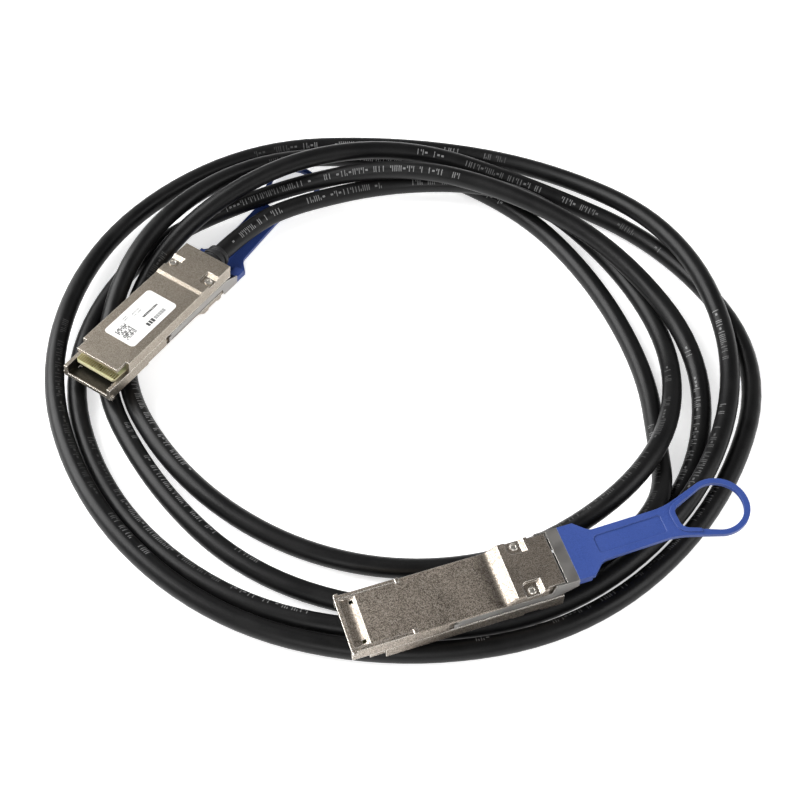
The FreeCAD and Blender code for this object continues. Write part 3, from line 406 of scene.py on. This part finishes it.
def painted_shade_masks(bench, place, plug):
    """Two masks of painted shade on a casting: the inside of the plug's mouth, and the hollow at
    its ramp's foot.
    """
    rows = plug_frame(plug).inverted()
    depth, across, height = (
        bench.maths("ADD", bench.vector("DOT_PRODUCT", place, tuple(row[:3])), row[3])
        for row in rows[:3]
    )
    mouth = bench.spread(depth, *MOUTH_RIM)
    for value, operation, limit in (
        (bench.maths("ABSOLUTE", across), "LESS_THAN", MOUTH_SIDE),
        (height, "GREATER_THAN", MOUTH_FLOOR),
        (height, "LESS_THAN", MOUTH_ROOF),
    ):
        mouth = bench.times(mouth, bench.maths(operation, value, limit))
    behind_front = bench.spread(depth, *HOLLOW_FRONT)
    hollow = bench.maths("SUBTRACT", behind_front, bench.spread(depth, *HOLLOW_BACK))
    hollow = bench.times(hollow, bench.maths("GREATER_THAN", height, HOLLOW_FLOOR))
    return mouth, hollow


def cast_nickel(plug, along):
    """Nickel-plated die casting: a fine sandy skin, edges polished bright and partly painted as
    highlight, and painted shade in the mouth and the ramp's hollow.
    """
    material, bench, shader, place = finish("nickel casting " + plug[-1])
    # Plug B's dark tone holds painted shade.
    dark, light = CASTING_TONES_AND_PAINTED_SHADE[plug]
    glint, glint_share = colour(0.7, 0.63, 0.54), 0.5
    smudged, smudge_share = colour(0.24, 0.2, 0.165), 0.22
    hollow_painted_shade, hollow_share = colour(0.035, 0.03, 0.024), 0.72
    mouth_painted_shade, mouth_share = colour(0.025, 0.023, 0.016), 0.9
    polished_edge_and_highlight, rubbed_gloss = colour(1.0, 0.96, 0.89), 0.16
    sand_range = (0.43, 0.57)

    grain = use(bench, GRAIN, {"Place": place, "Size": 0.25 * MM})
    worn = use(bench, WORN_EDGE, {"Place": place, "Round": 0.3 * MM, "Patchiness": 0.08})
    marks = use(bench, HANDLING, {"Place": place, "Smudge Size": 9 * MM, "Along": along})
    skin = bench.tint(bench.spread(grain["Height"], *sand_range), dark, light)
    skin = bench.tint(bench.times(grain["Speck"], glint_share), skin, glint)
    skin = bench.tint(bench.times(marks["Smudge"], smudge_share), skin, smudged)
    # The edges are tinted near white: partly polish from handling, partly a painted highlight along
    # every rim.
    skin = bench.tint(worn["Edge"], skin, polished_edge_and_highlight)
    mouth, hollow = painted_shade_masks(bench, place, plug)
    # Painted shade: the hollow at the ramp's foot and the inside of the mouth are painted near
    # black.
    skin = bench.tint(bench.times(hollow, hollow_share), skin, hollow_painted_shade)
    skin = bench.tint(bench.times(mouth, mouth_share), skin, mouth_painted_shade)
    dull = bench.between(marks["Smudge"], 0.31, 0.39)
    bench.fill(shader, {
        "Base Color": skin,
        "Roughness": bench.maths("SUBTRACT", dull, bench.times(worn["Edge"], rubbed_gloss)),
        "Metallic": 0.88,
        "Normal": bump(bench, grain["Height"], depth=0.07 * MM, normal=worn["Normal"]),
    })
    return material


def pressed_steel(name, along, base, rough):
    """Bright spring steel, with the drawn lines of the rolled sheet."""
    material, bench, shader, place = finish(name)
    line_tone, line_share, edge_tone = colour(0.36, 0.34, 0.31), 0.3, colour(0.86, 0.83, 0.77)
    smudge_dulls = 0.12
    worn = use(bench, WORN_EDGE, {"Place": place, "Round": 0.1 * MM, "Patchiness": 0.1})
    marks = use(bench, HANDLING, {"Place": place, "Smudge Size": 6 * MM, "Along": along})
    drawn = bench.tint(bench.times(marks["Scratch"], line_share), base, line_tone)
    bench.fill(shader, {
        "Base Color": bench.tint(worn["Edge"], drawn, edge_tone),
        "Roughness": bench.between(marks["Smudge"], rough, rough + smudge_dulls),
        "Metallic": 0.95,
        "Normal": bump(bench, marks["Scratch"], depth=0.006 * MM, normal=worn["Normal"]),
    })
    return material


def moulded(name, dark, light, edge, grain_size, depth, rough):
    """A moulded plastic or rubber skin: fine grain, faint flow clouds and lighter worn edges."""
    material, bench, shader, place = finish(name)
    cloud_share, edge_share, smudge_dulls = 0.35, 0.5, 0.1
    grain = use(bench, GRAIN, {"Place": place, "Size": grain_size, "Dark": dark, "Light": light})
    worn = use(bench, WORN_EDGE, {"Place": place, "Round": 0.22 * MM, "Patchiness": 0.2})
    marks = use(bench, HANDLING, {"Place": place, "Smudge Size": 12 * MM, "Along": ALONG_X})
    cloud = bench.tint(bench.times(marks["Smudge"], cloud_share), grain["Colour"], light)
    bench.fill(shader, {
        "Base Color": bench.tint(bench.times(worn["Edge"], edge_share), cloud, edge),
        "Roughness": bench.between(marks["Smudge"], rough, rough + smudge_dulls),
        "Specular IOR Level": 0.42,
        "Normal": bump(bench, grain["Height"], depth, worn["Normal"]),
    })
    return material


def jacket_black():
    """Satin black jacket: a faint orange-peel skin, dusty where it has been handled."""
    material, bench, shader, place = finish("black jacket")
    dark, light = colour(0.003, 0.003, 0.0031), colour(0.006, 0.006, 0.0063)
    dust, dust_share = colour(0.012, 0.0117, 0.0115), 0.3
    grain = use(bench, GRAIN, {"Place": place, "Size": 0.5 * MM, "Dark": dark, "Light": light})
    marks = use(bench, HANDLING, {"Place": place, "Smudge Size": 14 * MM, "Along": ALONG_X})
    bench.fill(shader, {
        "Base Color": bench.tint(bench.times(marks["Smudge"], dust_share), grain["Colour"], dust),
        "Roughness": bench.between(marks["Smudge"], 0.34, 0.44),
        "Specular IOR Level": 0.22,
        "Normal": bump(bench, grain["Height"], depth=0.012 * MM),
    })
    return material


def gold_plate():
    """Gold on the card's contacts, wiped along the way it is plugged in."""
    material, bench, shader, place = finish("contact gold")
    plug_way = (0.53, 0.85, 0.0)
    gold, wiped, wiped_share = colour(0.5, 0.4, 0.2), colour(0.24, 0.18, 0.09), 0.5
    marks = use(bench, HANDLING, {"Place": place, "Smudge Size": 2 * MM, "Along": plug_way})
    bench.fill(shader, {
        "Base Color": bench.tint(bench.times(marks["Scratch"], wiped_share), gold, wiped),
        "Roughness": bench.between(marks["Smudge"], 0.25, 0.4),
        "Metallic": 1.0,
    })
    return material


def board_laminate():
    """The card's glass laminate: pale edges with a woven fleck, under a thin green mask."""
    material, bench, shader, place = finish("board laminate")
    glass, weft, weft_share = colour(0.7, 0.64, 0.42), colour(0.5, 0.47, 0.27), 0.4
    green, face_range = colour(0.5, 0.5, 0.27), (0.75, 0.9)
    wave = {"Vector": place, "Scale": 620.0, "Distortion": 1.5}
    weave = bench.add("ShaderNodeTexWave", wave).outputs["Fac"]
    pale = bench.tint(bench.times(weave, weft_share), glass, weft)
    normal = bench.add("ShaderNodeNewGeometry").outputs["Normal"]
    up = bench.add("ShaderNodeSeparateXYZ", {"Vector": normal}).outputs["Z"]
    face = bench.spread(bench.maths("ABSOLUTE", up), *face_range)
    bench.fill(shader, {
        "Base Color": bench.tint(face, pale, green),
        "Roughness": bench.between(weave, 0.35, 0.5),
    })
    return material


def label_paper():
    """White coated label stock with a faint fibre and slightly greyed patches."""
    material, bench, shader, place = finish("label paper")
    dark, light = colour(0.8, 0.79, 0.775), colour(0.87, 0.865, 0.855)
    grey, grey_share = colour(0.66, 0.64, 0.62), 0.12
    grain = use(bench, GRAIN, {"Place": place, "Size": 0.25 * MM, "Dark": dark, "Light": light})
    marks = use(bench, HANDLING, {"Place": place, "Smudge Size": 5 * MM, "Along": ALONG_X})
    bench.fill(shader, {
        "Base Color": bench.tint(bench.times(marks["Smudge"], grey_share), grain["Colour"], grey),
        "Roughness": bench.between(marks["Smudge"], 0.4, 0.55),
        "Normal": bump(bench, grain["Height"], depth=0.008 * MM),
    })
    return material


def print_ink(name, strong, weak, ground=None):
    """Ink that has taken unevenly, and in long stretches faded to its ground where one is given."""
    material, bench, shader, place = finish(name)
    stretch_scale, fade_range, least, most = 22.0, (0.4, 0.58), 0.1, 0.92
    grain = use(bench, GRAIN, {"Place": place, "Size": 0.16 * MM, "Dark": strong, "Light": weak})
    seen = grain["Colour"]
    if ground is not None:
        stretch = bench.noise(place, stretch_scale, detail=1.0)
        seen = bench.tint(bench.spread(stretch, *fade_range, least, most), seen, ground)
    bench.fill(shader, {
        "Base Color": seen,
        "Roughness": bench.spread(grain["Height"], 0.3, 0.7, to_low=0.4, to_high=0.6),
    })
    return material


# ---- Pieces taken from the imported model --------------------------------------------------


# The nearest that two points of a node's skin stay apart, and the bend that counts as flat.
JOIN_WITHIN = 0.002 * MM
FLAT_WITHIN = math.radians(0.6)

# An edge that turns by more degrees than this is shown as an edge, and softened as one. On the
# castings, the slope of the label side's step turns by 19, and the rounds' facets by 17 at most.
CREASE = 32
CASTING_CREASE = 18.2

# A rivet's head: the least area of its flat, how squarely that faces the plug's height, and
# the dimple's rim, slope and depth.
HEAD_AREA = 1.2 * MM * MM
HEAD_SQUARE = 0.99
DIMPLE_RIM = 0.36 * MM
DIMPLE_SLOPE = 0.08 * MM
DIMPLE_DEPTH = 0.3 * MM


def joined_copy(name, node, crease=CREASE):
    """A copy of a node's skin with its points joined, its flats made whole and its creases kept."""
    skin = bmesh.new()
    skin.from_mesh(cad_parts[node].data)
    bmesh.ops.remove_doubles(skin, verts=skin.verts, dist=JOIN_WITHIN)
    bmesh.ops.dissolve_limit(skin, angle_limit=FLAT_WITHIN, verts=skin.verts, edges=skin.edges)
    mesh = bpy.data.meshes.new(name)
    skin.to_mesh(mesh)
    skin.free()
    if "custom_normal" in mesh.attributes:
        mesh.attributes.remove(mesh.attributes["custom_normal"])
    mesh.materials.clear()
    for face in mesh.polygons:
        face.material_index = 0
        face.use_smooth = True
    mesh.set_sharp_from_angle(angle=math.radians(crease))
    return new_object(name, mesh)


def soften(piece, width, crease=CREASE):
    """Rounds a piece's edges a little."""
    edge = piece.modifiers.new("softened edges", "BEVEL")
    edge.width = width
    edge.segments = 2
    edge.limit_method = "ANGLE"
    edge.angle_limit = math.radians(crease)
    edge.use_clamp_overlap = True
    edge.harden_normals = True


def dimple_rivets(piece, up):
    """Sinks the middle of each rivet head that faces up or down along the plug's own height."""
    skin = bmesh.new()
    skin.from_mesh(piece.data)
    skin.normal_update()
    heads = [
        face for face in skin.faces
        if abs(face.normal.dot(up)) > HEAD_SQUARE and face.calc_area() > HEAD_AREA
    ]
    for face in heads:
        bmesh.ops.inset_region(skin, faces=[face], thickness=DIMPLE_RIM, depth=0.0)
        bmesh.ops.inset_region(skin, faces=[face], thickness=DIMPLE_SLOPE, depth=-DIMPLE_DEPTH)
    skin.to_mesh(piece.data)
    skin.free()


def stand_in_for(piece, node, body):
    """The piece shows in place of a node, and moves with its body."""
    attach(piece, body)
    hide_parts(node)


def skin_of(node, body, material, crease=CREASE):
    """A finished copy of a node that shows in its place."""
    piece = joined_copy(node + "_skin", node, crease)
    piece.data.materials.append(material)
    stand_in_for(piece, node, body)
    return piece


def repaint(node, material):
    """Gives a node that stays its real finish."""
    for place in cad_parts[node].material_slots:
        place.material = material


# ---- Print -------------------------------------------------------------------------------


class GeometryBench(Bench):
    """A bench for a tree of geometry nodes, with named inputs."""

    def __init__(self, name, inputs):
        tree = bpy.data.node_groups.new(name, "GeometryNodeTree")
        super().__init__(tree)
        geometry = "NodeSocketGeometry"
        tree.interface.new_socket(name="Geometry", in_out="INPUT", socket_type=geometry)
        for label, value in inputs.items():
            kind = "NodeSocketInt" if isinstance(value, int) else "NodeSocketFloat"
            tree.interface.new_socket(name=label, in_out="INPUT", socket_type=kind)
        tree.interface.new_socket(name="Geometry", in_out="OUTPUT", socket_type=geometry)
        self.inputs = inputs
        self.given = self.add("NodeGroupInput").outputs
        self.end = self.add("NodeGroupOutput")

    def chance(self, seed, low=0.0, high=1.0, number=None):
        """A random value, the same for equal numbers."""
        node = self.add("FunctionNodeRandomValue", {"Seed": seed}, data_type="FLOAT")
        self.feed(node.inputs[RANDOM_LOW], low)
        self.feed(node.inputs[RANDOM_HIGH], high)
        if number is not None:
            self.feed(node.inputs["ID"], number)
        return node.outputs[RANDOM_NUMBER]

    def next_seed(self, step):
        """A seed for one more draw, apart from the others."""
        return self.maths("ADD", self.given["Seed"], step)

    def put_out(self, instances, ink):
        """Ends the tree with the instances as plain geometry in their ink."""
        plain = self.add("GeometryNodeRealizeInstances", {"Geometry": instances})
        inked = self.add("GeometryNodeSetMaterial", {
            "Geometry": plain.outputs["Geometry"], "Material": ink,
        })
        self.fill(self.end, {"Geometry": inked.outputs["Geometry"]})

    def make(self, thing, name, material):
        """Runs the tree on a thing and returns its result as a plain mesh piece."""
        run = thing.modifiers.new("make", "NODES")
        run.node_group = self.tree
        for socket in self.tree.interface.items_tree:
            if socket.in_out == "INPUT" and socket.name in self.inputs:
                run[socket.identifier] = self.inputs[socket.name]
        bpy.context.view_layer.update()
        seen = thing.evaluated_get(bpy.context.evaluated_depsgraph_get())
        mesh = bpy.data.meshes.new_from_object(seen)
        thing.modifiers.remove(run)
        bpy.data.objects.remove(thing)
        mesh.name = name
        mesh.materials.clear()
        mesh.materials.append(material)
        return new_object(name, mesh)


# A bar on the jacket: its width, its full height, its place beside a sign's middle where there
# are two, and a short bar's height and shift across the line. A dash lies along the line.
BAR_WIDTH = 0.0003
BAR_HEIGHT = 0.0021
BESIDE = 0.00035
SHORT_HEIGHT = 0.0009
SHORT_SHIFT = 0.0006
DASH = (0.0, 0.0, 0.0009, 0.0007)

# How far the ink stands off the jacket.
INK_LIFT = 0.00002


def upright(along, tall=BAR_HEIGHT, across=0.0):
    """A bar that stands across the jacket's line: its place, and its width and height."""
    return (along, across, BAR_WIDTH, tall)


# The signs on the jacket stand for print without being letters: each is one or two plain bars,
# given as a place along and across the line, and a width and a height.
SIGNS = (
    (upright(-BESIDE), upright(BESIDE)),
    (upright(0.0),),
    (upright(-BESIDE), upright(BESIDE, SHORT_HEIGHT, -SHORT_SHIFT)),
    (upright(-BESIDE, SHORT_HEIGHT, SHORT_SHIFT), upright(BESIDE)),
    (DASH,),
)

# A draw below this, rounded down, is the number of a sign.
SIGN_END = len(SIGNS) - 0.001

# The print on the jacket. A run of print comes again at each repeat, and the line that it
# stands on turns slowly round the jacket. Each share is of the groups, or of the signs in
# them, that are there.
CABLE_PRINT = {
    "Radius": JACKET_ROUND / 2 + INK_LIFT,
    "Sign Pitch": 0.0015,
    "Run Length": 0.1,
    "Repeat": 0.2018,
    "First Run": 0.006,
    "Group Length": 0.0075,
    "Group Share": 0.8,
    "Sign Share": 0.84,
    "First Angle": 0.55,
    "Turn per Metre": 0.03,
    "Seed": 7,
}


def curved_mark(bench, strokes):
    """One sign of a few straight strokes, bent round a jacket whose axis is at the origin."""
    sheets = bench.add("GeometryNodeJoinGeometry")
    for along, across, wide, tall in strokes:
        sheet = bench.add("GeometryNodeMeshGrid", {
            "Size X": wide, "Size Y": tall, "Vertices X": 2, "Vertices Y": 4,
        })
        laid = bench.add("GeometryNodeTransform", {
            "Geometry": sheet.outputs["Mesh"], "Translation": bench.axes(X=along, Y=across),
        })
        bench.feed(sheets.inputs[0], laid.outputs["Geometry"])
    position = bench.add("GeometryNodeInputPosition").outputs[0]
    aside = bench.add("ShaderNodeSeparateXYZ", {"Vector": position}).outputs["Y"]
    radius = bench.given["Radius"]
    rise = bench.maths("SUBTRACT", bench.times(radius, radius), bench.times(aside, aside))
    bent = bench.add("GeometryNodeSetPosition", {
        "Geometry": sheets.outputs["Geometry"], "Offset": bench.axes(Z=bench.maths("SQRT", rise)),
    })
    return bent.outputs["Geometry"]


def printed_places(bench, run):
    """Which places along the jacket have a sign, in groups within each run of print."""
    given = bench.given
    phase = bench.maths("SUBTRACT", run, given["First Run"])
    phase = bench.maths("FLOORED_MODULO", phase, given["Repeat"])
    inside = bench.maths("LESS_THAN", phase, given["Run Length"])
    group = bench.maths("FLOOR", bench.maths("DIVIDE", run, given["Group Length"]))
    group_draw = bench.chance(given["Seed"], number=group)
    grouped = bench.maths("LESS_THAN", group_draw, given["Group Share"])
    inked = bench.maths("LESS_THAN", bench.chance(bench.next_seed(1.0)), given["Sign Share"])
    return bench.times(bench.times(inside, grouped), inked)


def turned_outward(bench, along, run):
    """A sign's turn: it faces out from the jacket, at an angle that grows along the run."""
    given = bench.given
    world_up = (0.0, 0.0, 1.0)
    lean = bench.scaled(along, bench.vector("DOT_PRODUCT", along, world_up))
    top = bench.vector("NORMALIZE", bench.vector("SUBTRACT", world_up, lean))
    side = bench.vector("CROSS_PRODUCT", along, top)
    angle = bench.maths("MULTIPLY_ADD", run, given["Turn per Metre"], given["First Angle"])
    outward = bench.vector(
        "ADD",
        bench.scaled(top, bench.maths("COSINE", angle)),
        bench.scaled(side, bench.maths("SINE", angle)),
    )
    turn = bench.add(
        "FunctionNodeAxesToRotation",
        {"Primary Axis": outward, "Secondary Axis": along},
        primary_axis="Z",
        secondary_axis="X",
    )
    return turn.outputs["Rotation"]


def print_on_cable(ink):
    """Runs of small plain signs along the jacket, in groups, slowly turning round it."""
    bench = GeometryBench("Cable Print", CABLE_PRINT)
    given = bench.given
    step = bench.add(
        "GeometryNodeCurveToPoints",
        {"Curve": given["Geometry"], "Length": given["Sign Pitch"]},
        mode="LENGTH",
    )
    index = bench.add("GeometryNodeInputIndex").outputs[0]
    run = bench.times(index, given["Sign Pitch"])
    signs = bench.add("GeometryNodeGeometryToInstance")
    for strokes in SIGNS:
        bench.feed(signs.inputs[0], curved_mark(bench, strokes))
    sign_draw = bench.chance(bench.next_seed(2.0), 0.0, SIGN_END)
    laid = bench.add("GeometryNodeInstanceOnPoints", {
        "Points": step.outputs["Points"],
        "Selection": printed_places(bench, run),
        "Instance": signs.outputs[0],
        "Pick Instance": True,
        "Instance Index": bench.maths("FLOOR", sign_draw),
        "Rotation": turned_outward(bench, step.outputs["Tangent"], run),
    })
    bench.put_out(laid.outputs["Instances"], ink)
    return bench.make(cable_line("print line"), "cable_print", ink)


# The label's print: its height in the plug's own axes, just off the paper's face, and the
# shortest and longest share of its room that a bar takes.
LABEL_PRINT_HEIGHT = -0.135 * MM
SHORTEST_BAR, LONGEST_BAR = 0.5, 0.98

# Each block of bars on the label. A row of bars starts at a place along the plug, and the rows
# lie beside each other across it. Lengths here are in millimetres, and Fill is the share of the
# bars that are there.
BLOCK_COLUMNS = (
    "Start", "Reach", "Bars", "First Row", "Rows", "Row Pitch", "Bar Height", "Fill", "Seed",
)
BLOCK_LENGTHS = ("Start", "Reach", "First Row", "Row Pitch", "Bar Height")
LABEL_BLOCKS = (
    ("dark ink", "label_print_bold", (26.0, 3.6, 3, 3.6, 1, 0.0, 1.7, 1.0, 11)),
    ("grey ink", "label_print_name", (29.9, 5.2, 5, 3.6, 1, 0.0, 1.4, 0.9, 3)),
    ("dark ink", "label_print_number", (28.0, 7.4, 11, 0.3, 1, 0.0, 0.85, 1.0, 5)),
    ("grey ink", "label_print_note", (26.8, 3.4, 6, -2.3, 2, -0.9, 0.5, 0.95, 8)),
    ("dark ink", "label_print_code", (17.4, 5.0, 9, -2.6, 10, 0.56, 0.52, 0.72, 9)),
    ("grey ink", "label_print_foot", (23.2, 2.0, 4, -4.2, 2, 0.8, 0.4, 0.9, 14)),
)


def print_on_label(ink, name, block):
    """Rows of plain bars along the label, row beside row across it, each of its own length."""
    sizes = dict(zip(BLOCK_COLUMNS, block))
    for label in BLOCK_LENGTHS:
        sizes[label] *= MM
    bench = GeometryBench("Label Print", sizes)
    given = bench.given
    count = bench.times(given["Rows"], given["Bars"])
    spots = bench.add("GeometryNodePoints", {"Count": count})
    index = bench.add("GeometryNodeInputIndex").outputs[0]
    row = bench.maths("FLOOR", bench.maths("DIVIDE", index, given["Bars"]))
    column = bench.maths("FLOORED_MODULO", index, given["Bars"])
    room = bench.maths("DIVIDE", given["Reach"], given["Bars"])
    middle = bench.maths("ADD", column, 0.5)
    placed = bench.add("GeometryNodeSetPosition", {
        "Geometry": spots.outputs[0],
        "Position": bench.axes(
            X=bench.maths("MULTIPLY_ADD", middle, room, given["Start"]),
            Y=bench.maths("MULTIPLY_ADD", row, given["Row Pitch"], given["First Row"]),
        ),
    })
    bar = bench.add("GeometryNodeMeshGrid", {
        "Size X": room, "Size Y": given["Bar Height"], "Vertices X": 2, "Vertices Y": 2,
    })
    length_draw = bench.chance(given["Seed"], SHORTEST_BAR, LONGEST_BAR)
    laid = bench.add("GeometryNodeInstanceOnPoints", {
        "Points": placed.outputs["Geometry"],
        "Selection": bench.maths("LESS_THAN", bench.chance(bench.next_seed(1.0)), given["Fill"]),
        "Instance": bar.outputs["Mesh"],
        "Scale": bench.axes(X=length_draw, Y=1.0, Z=1.0),
    })
    bench.put_out(laid.outputs["Instances"], ink)
    piece = bench.make(new_object("label rows", bpy.data.meshes.new("label rows")), name, ink)
    piece.data.transform(plug_frame("plug_a") @ Matrix.Translation((0.0, 0.0, LABEL_PRINT_HEIGHT)))
    return piece


# ---- The pieces --------------------------------------------------------------------------


def build_plug(plug, finishes):
    """All pieces of one plug, each in its finish."""
    latch = LATCH[plug]
    own_axes = plug_frame(plug).to_3x3()
    direction = tuple(round(value, 4) for value in own_axes @ Vector((1.0, 0.0, 0.0)))
    casting = cast_nickel(plug, direction)
    slider_tone = colour(0.36, 0.345, 0.33)
    slider_steel = pressed_steel("slider steel " + plug[-1], direction, slider_tone, rough=0.36)
    # Each part's name, body, slot, finish, the width of its softened edges, and its crease.
    shown = (
        ("latch_shell", "root", "casting", casting, 0.13 * MM, CASTING_CREASE),
        ("label_shell", "root", "casting", casting, 0.13 * MM, CASTING_CREASE),
        ("latch_slider", latch, "spring_sheet", slider_steel, 0.07 * MM, CREASE),
        ("pull_tab", latch, "tab_plastic", finishes["tab"], 0.22 * MM, CREASE),
        ("strain_relief", "root", "boot_rubber", finishes["rubber"], 0.2 * MM, CREASE),
        ("paddle_card", "root", "circuit_board", finishes["board"], 0.05 * MM, CREASE),
    )
    for part, body, slot, material, round_width, crease in shown:
        piece = skin_of(plug + "_" + part, body, material, crease)
        soften(piece, round_width, crease)
    rivets = skin_of(plug + "_rivets", "root", finishes["rivet"])
    dimple_rivets(rivets, own_axes @ Vector((0.0, 0.0, 1.0)))
    springs = skin_of(plug + "_return_springs", "root", finishes["spring"])
    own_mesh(springs)
    repaint(plug + "_cable_ferrule", finishes["rivet"])
    repaint(plug + "_contact_pads", finishes["gold"])
    repaint(plug + "_memory_chip", finishes["chip"])
    repaint(plug + "_wire_pairs", finishes["wire"])


def build_label(finishes):
    """The paper label on plug A, and its grey and black print."""
    paper = skin_of("plug_a_label", "root", finishes["paper"])
    soften(paper, 0.04 * MM)
    for ink, name, block in LABEL_BLOCKS:
        piece = print_on_label(finishes[ink], name, block)
        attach(piece, "root")


# ---- The floor and the light -------------------------------------------------------------


# How far the floor reaches to each side, and how strongly it shines to the camera and in what
# mirrors it.
FLOOR_REACH = 3.0
FLOOR_SHINE = 0.62

# The room's light falls from the walls' strength to the dark ceiling's: the ceiling's
# direction, and how squarely a ray points there where the fall begins and where it ends.
CEILING = (0.2, 0.25, 0.947)
CEILING_EDGE = (0.7, 0.96)
WALL_STRENGTH = 0.36
CEILING_STRENGTH = 0.03

# Each lamp's place, its width and its power in watts.
LAMPS = {
    "key": ((-0.66, 0.24, 0.56), 0.8, 15.0),
    "fill": ((0.7, -0.25, 0.5), 0.6, 3.6),
    "front": ((-0.15, -0.85, 0.55), 0.5, 2.6),
}

WHITE = colour(1.0, 1.0, 1.0)


def lay_floor():
    """A plain white sheet that fades into the background and keeps a soft shadow."""
    sheet = bmesh.new()
    bmesh.ops.create_grid(sheet, x_segments=1, y_segments=1, size=FLOOR_REACH)
    mesh = bpy.data.meshes.new("floor")
    sheet.to_mesh(mesh)
    sheet.free()
    material, bench, shader = plain_finish("white floor")
    ray = bench.add("ShaderNodeLightPath").outputs
    seen = bench.maths("ADD", ray["Is Camera Ray"], ray["Is Glossy Ray"])
    seen = bench.maths("ADD", seen, ray["Is Transmission Ray"])
    bench.fill(shader, {
        "Base Color": colour(0.8, 0.8, 0.8),
        "Roughness": 0.9,
        "Specular IOR Level": 0.1,
        "Emission Color": WHITE,
        "Emission Strength": bench.times(bench.maths("MINIMUM", seen, 1.0), FLOOR_SHINE),
    })
    mesh.materials.append(material)
    new_object("floor", mesh)


def set_light():
    """A pale room with a dark ceiling, a broad key from the upper left, and softer fills."""
    world = bpy.data.worlds.new("studio")
    scene.world = world
    world.use_nodes = True
    bench = Bench(world.node_tree)
    ray = bench.add("ShaderNodeLightPath").outputs
    toward = bench.add("ShaderNodeTexCoord").outputs["Generated"]
    overhead = bench.vector("DOT_PRODUCT", toward, CEILING)
    room = bench.spread(overhead, *CEILING_EDGE, WALL_STRENGTH, CEILING_STRENGTH)
    bench.fill(world.node_tree.nodes["Background"], {
        "Color": WHITE,
        "Strength": bench.maths("MAXIMUM", ray["Is Camera Ray"], room),
    })
    for name, (place, width, power) in LAMPS.items():
        lamp = bpy.data.lights.new(name, "AREA")
        lamp.shape = "SQUARE"
        lamp.size = width
        lamp.energy = power
        aim(new_object(name, lamp), Vector(place), Vector((0.0, 0.0, 0.0)))
    scene.view_settings.view_transform = "Standard"


# ---- Put together ------------------------------------------------------------------------

set_camera()
cable = lay_cable()
stand_in_for(cable, "cable", "root")

FINISHES = {
    "tab": moulded(
        "blue tab plastic", grain_size=0.3 * MM, depth=0.01 * MM, rough=0.4,
        dark=colour(0.023, 0.05, 0.2), light=colour(0.035, 0.07, 0.275),
        edge=colour(0.1, 0.16, 0.44),
    ),
    "rubber": moulded(
        "black boot rubber", grain_size=0.25 * MM, depth=0.012 * MM, rough=0.5,
        dark=colour(0.007, 0.007, 0.0075), light=colour(0.015, 0.015, 0.016),
        edge=colour(0.05, 0.05, 0.052),
    ),
    "wire": moulded(
        "wire insulation", grain_size=0.3 * MM, depth=0.006 * MM, rough=0.35,
        dark=colour(0.42, 0.42, 0.43), light=colour(0.6, 0.6, 0.6),
        edge=colour(0.7, 0.7, 0.7),
    ),
    "chip": moulded(
        "chip epoxy", grain_size=0.12 * MM, depth=0.01 * MM, rough=0.5,
        dark=colour(0.012, 0.012, 0.013), light=colour(0.025, 0.025, 0.026),
        edge=colour(0.07, 0.07, 0.07),
    ),
    "board": board_laminate(),
    "gold": gold_plate(),
    "paper": label_paper(),
    "rivet": pressed_steel("rivet steel", (0.0, 0.0, 1.0), colour(0.56, 0.53, 0.48), rough=0.3),
    "spring": pressed_steel("spring wire", ALONG_X, colour(0.5, 0.48, 0.44), rough=0.3),
    "dark ink": print_ink("dark ink", colour(0.02, 0.02, 0.02), colour(0.07, 0.07, 0.07)),
    "grey ink": print_ink("grey ink", colour(0.22, 0.22, 0.22), colour(0.4, 0.4, 0.4)),
    "cable ink": print_ink(
        "cable ink", colour(0.13, 0.13, 0.13), colour(0.24, 0.24, 0.24),
        ground=colour(0.016, 0.016, 0.016),
    ),
}
for plug_name in PLUGS:
    build_plug(plug_name, FINISHES)
build_label(FINISHES)
cable_print = print_on_cable(FINISHES["cable ink"])
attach(cable_print, "root")
lay_floor()
set_light()
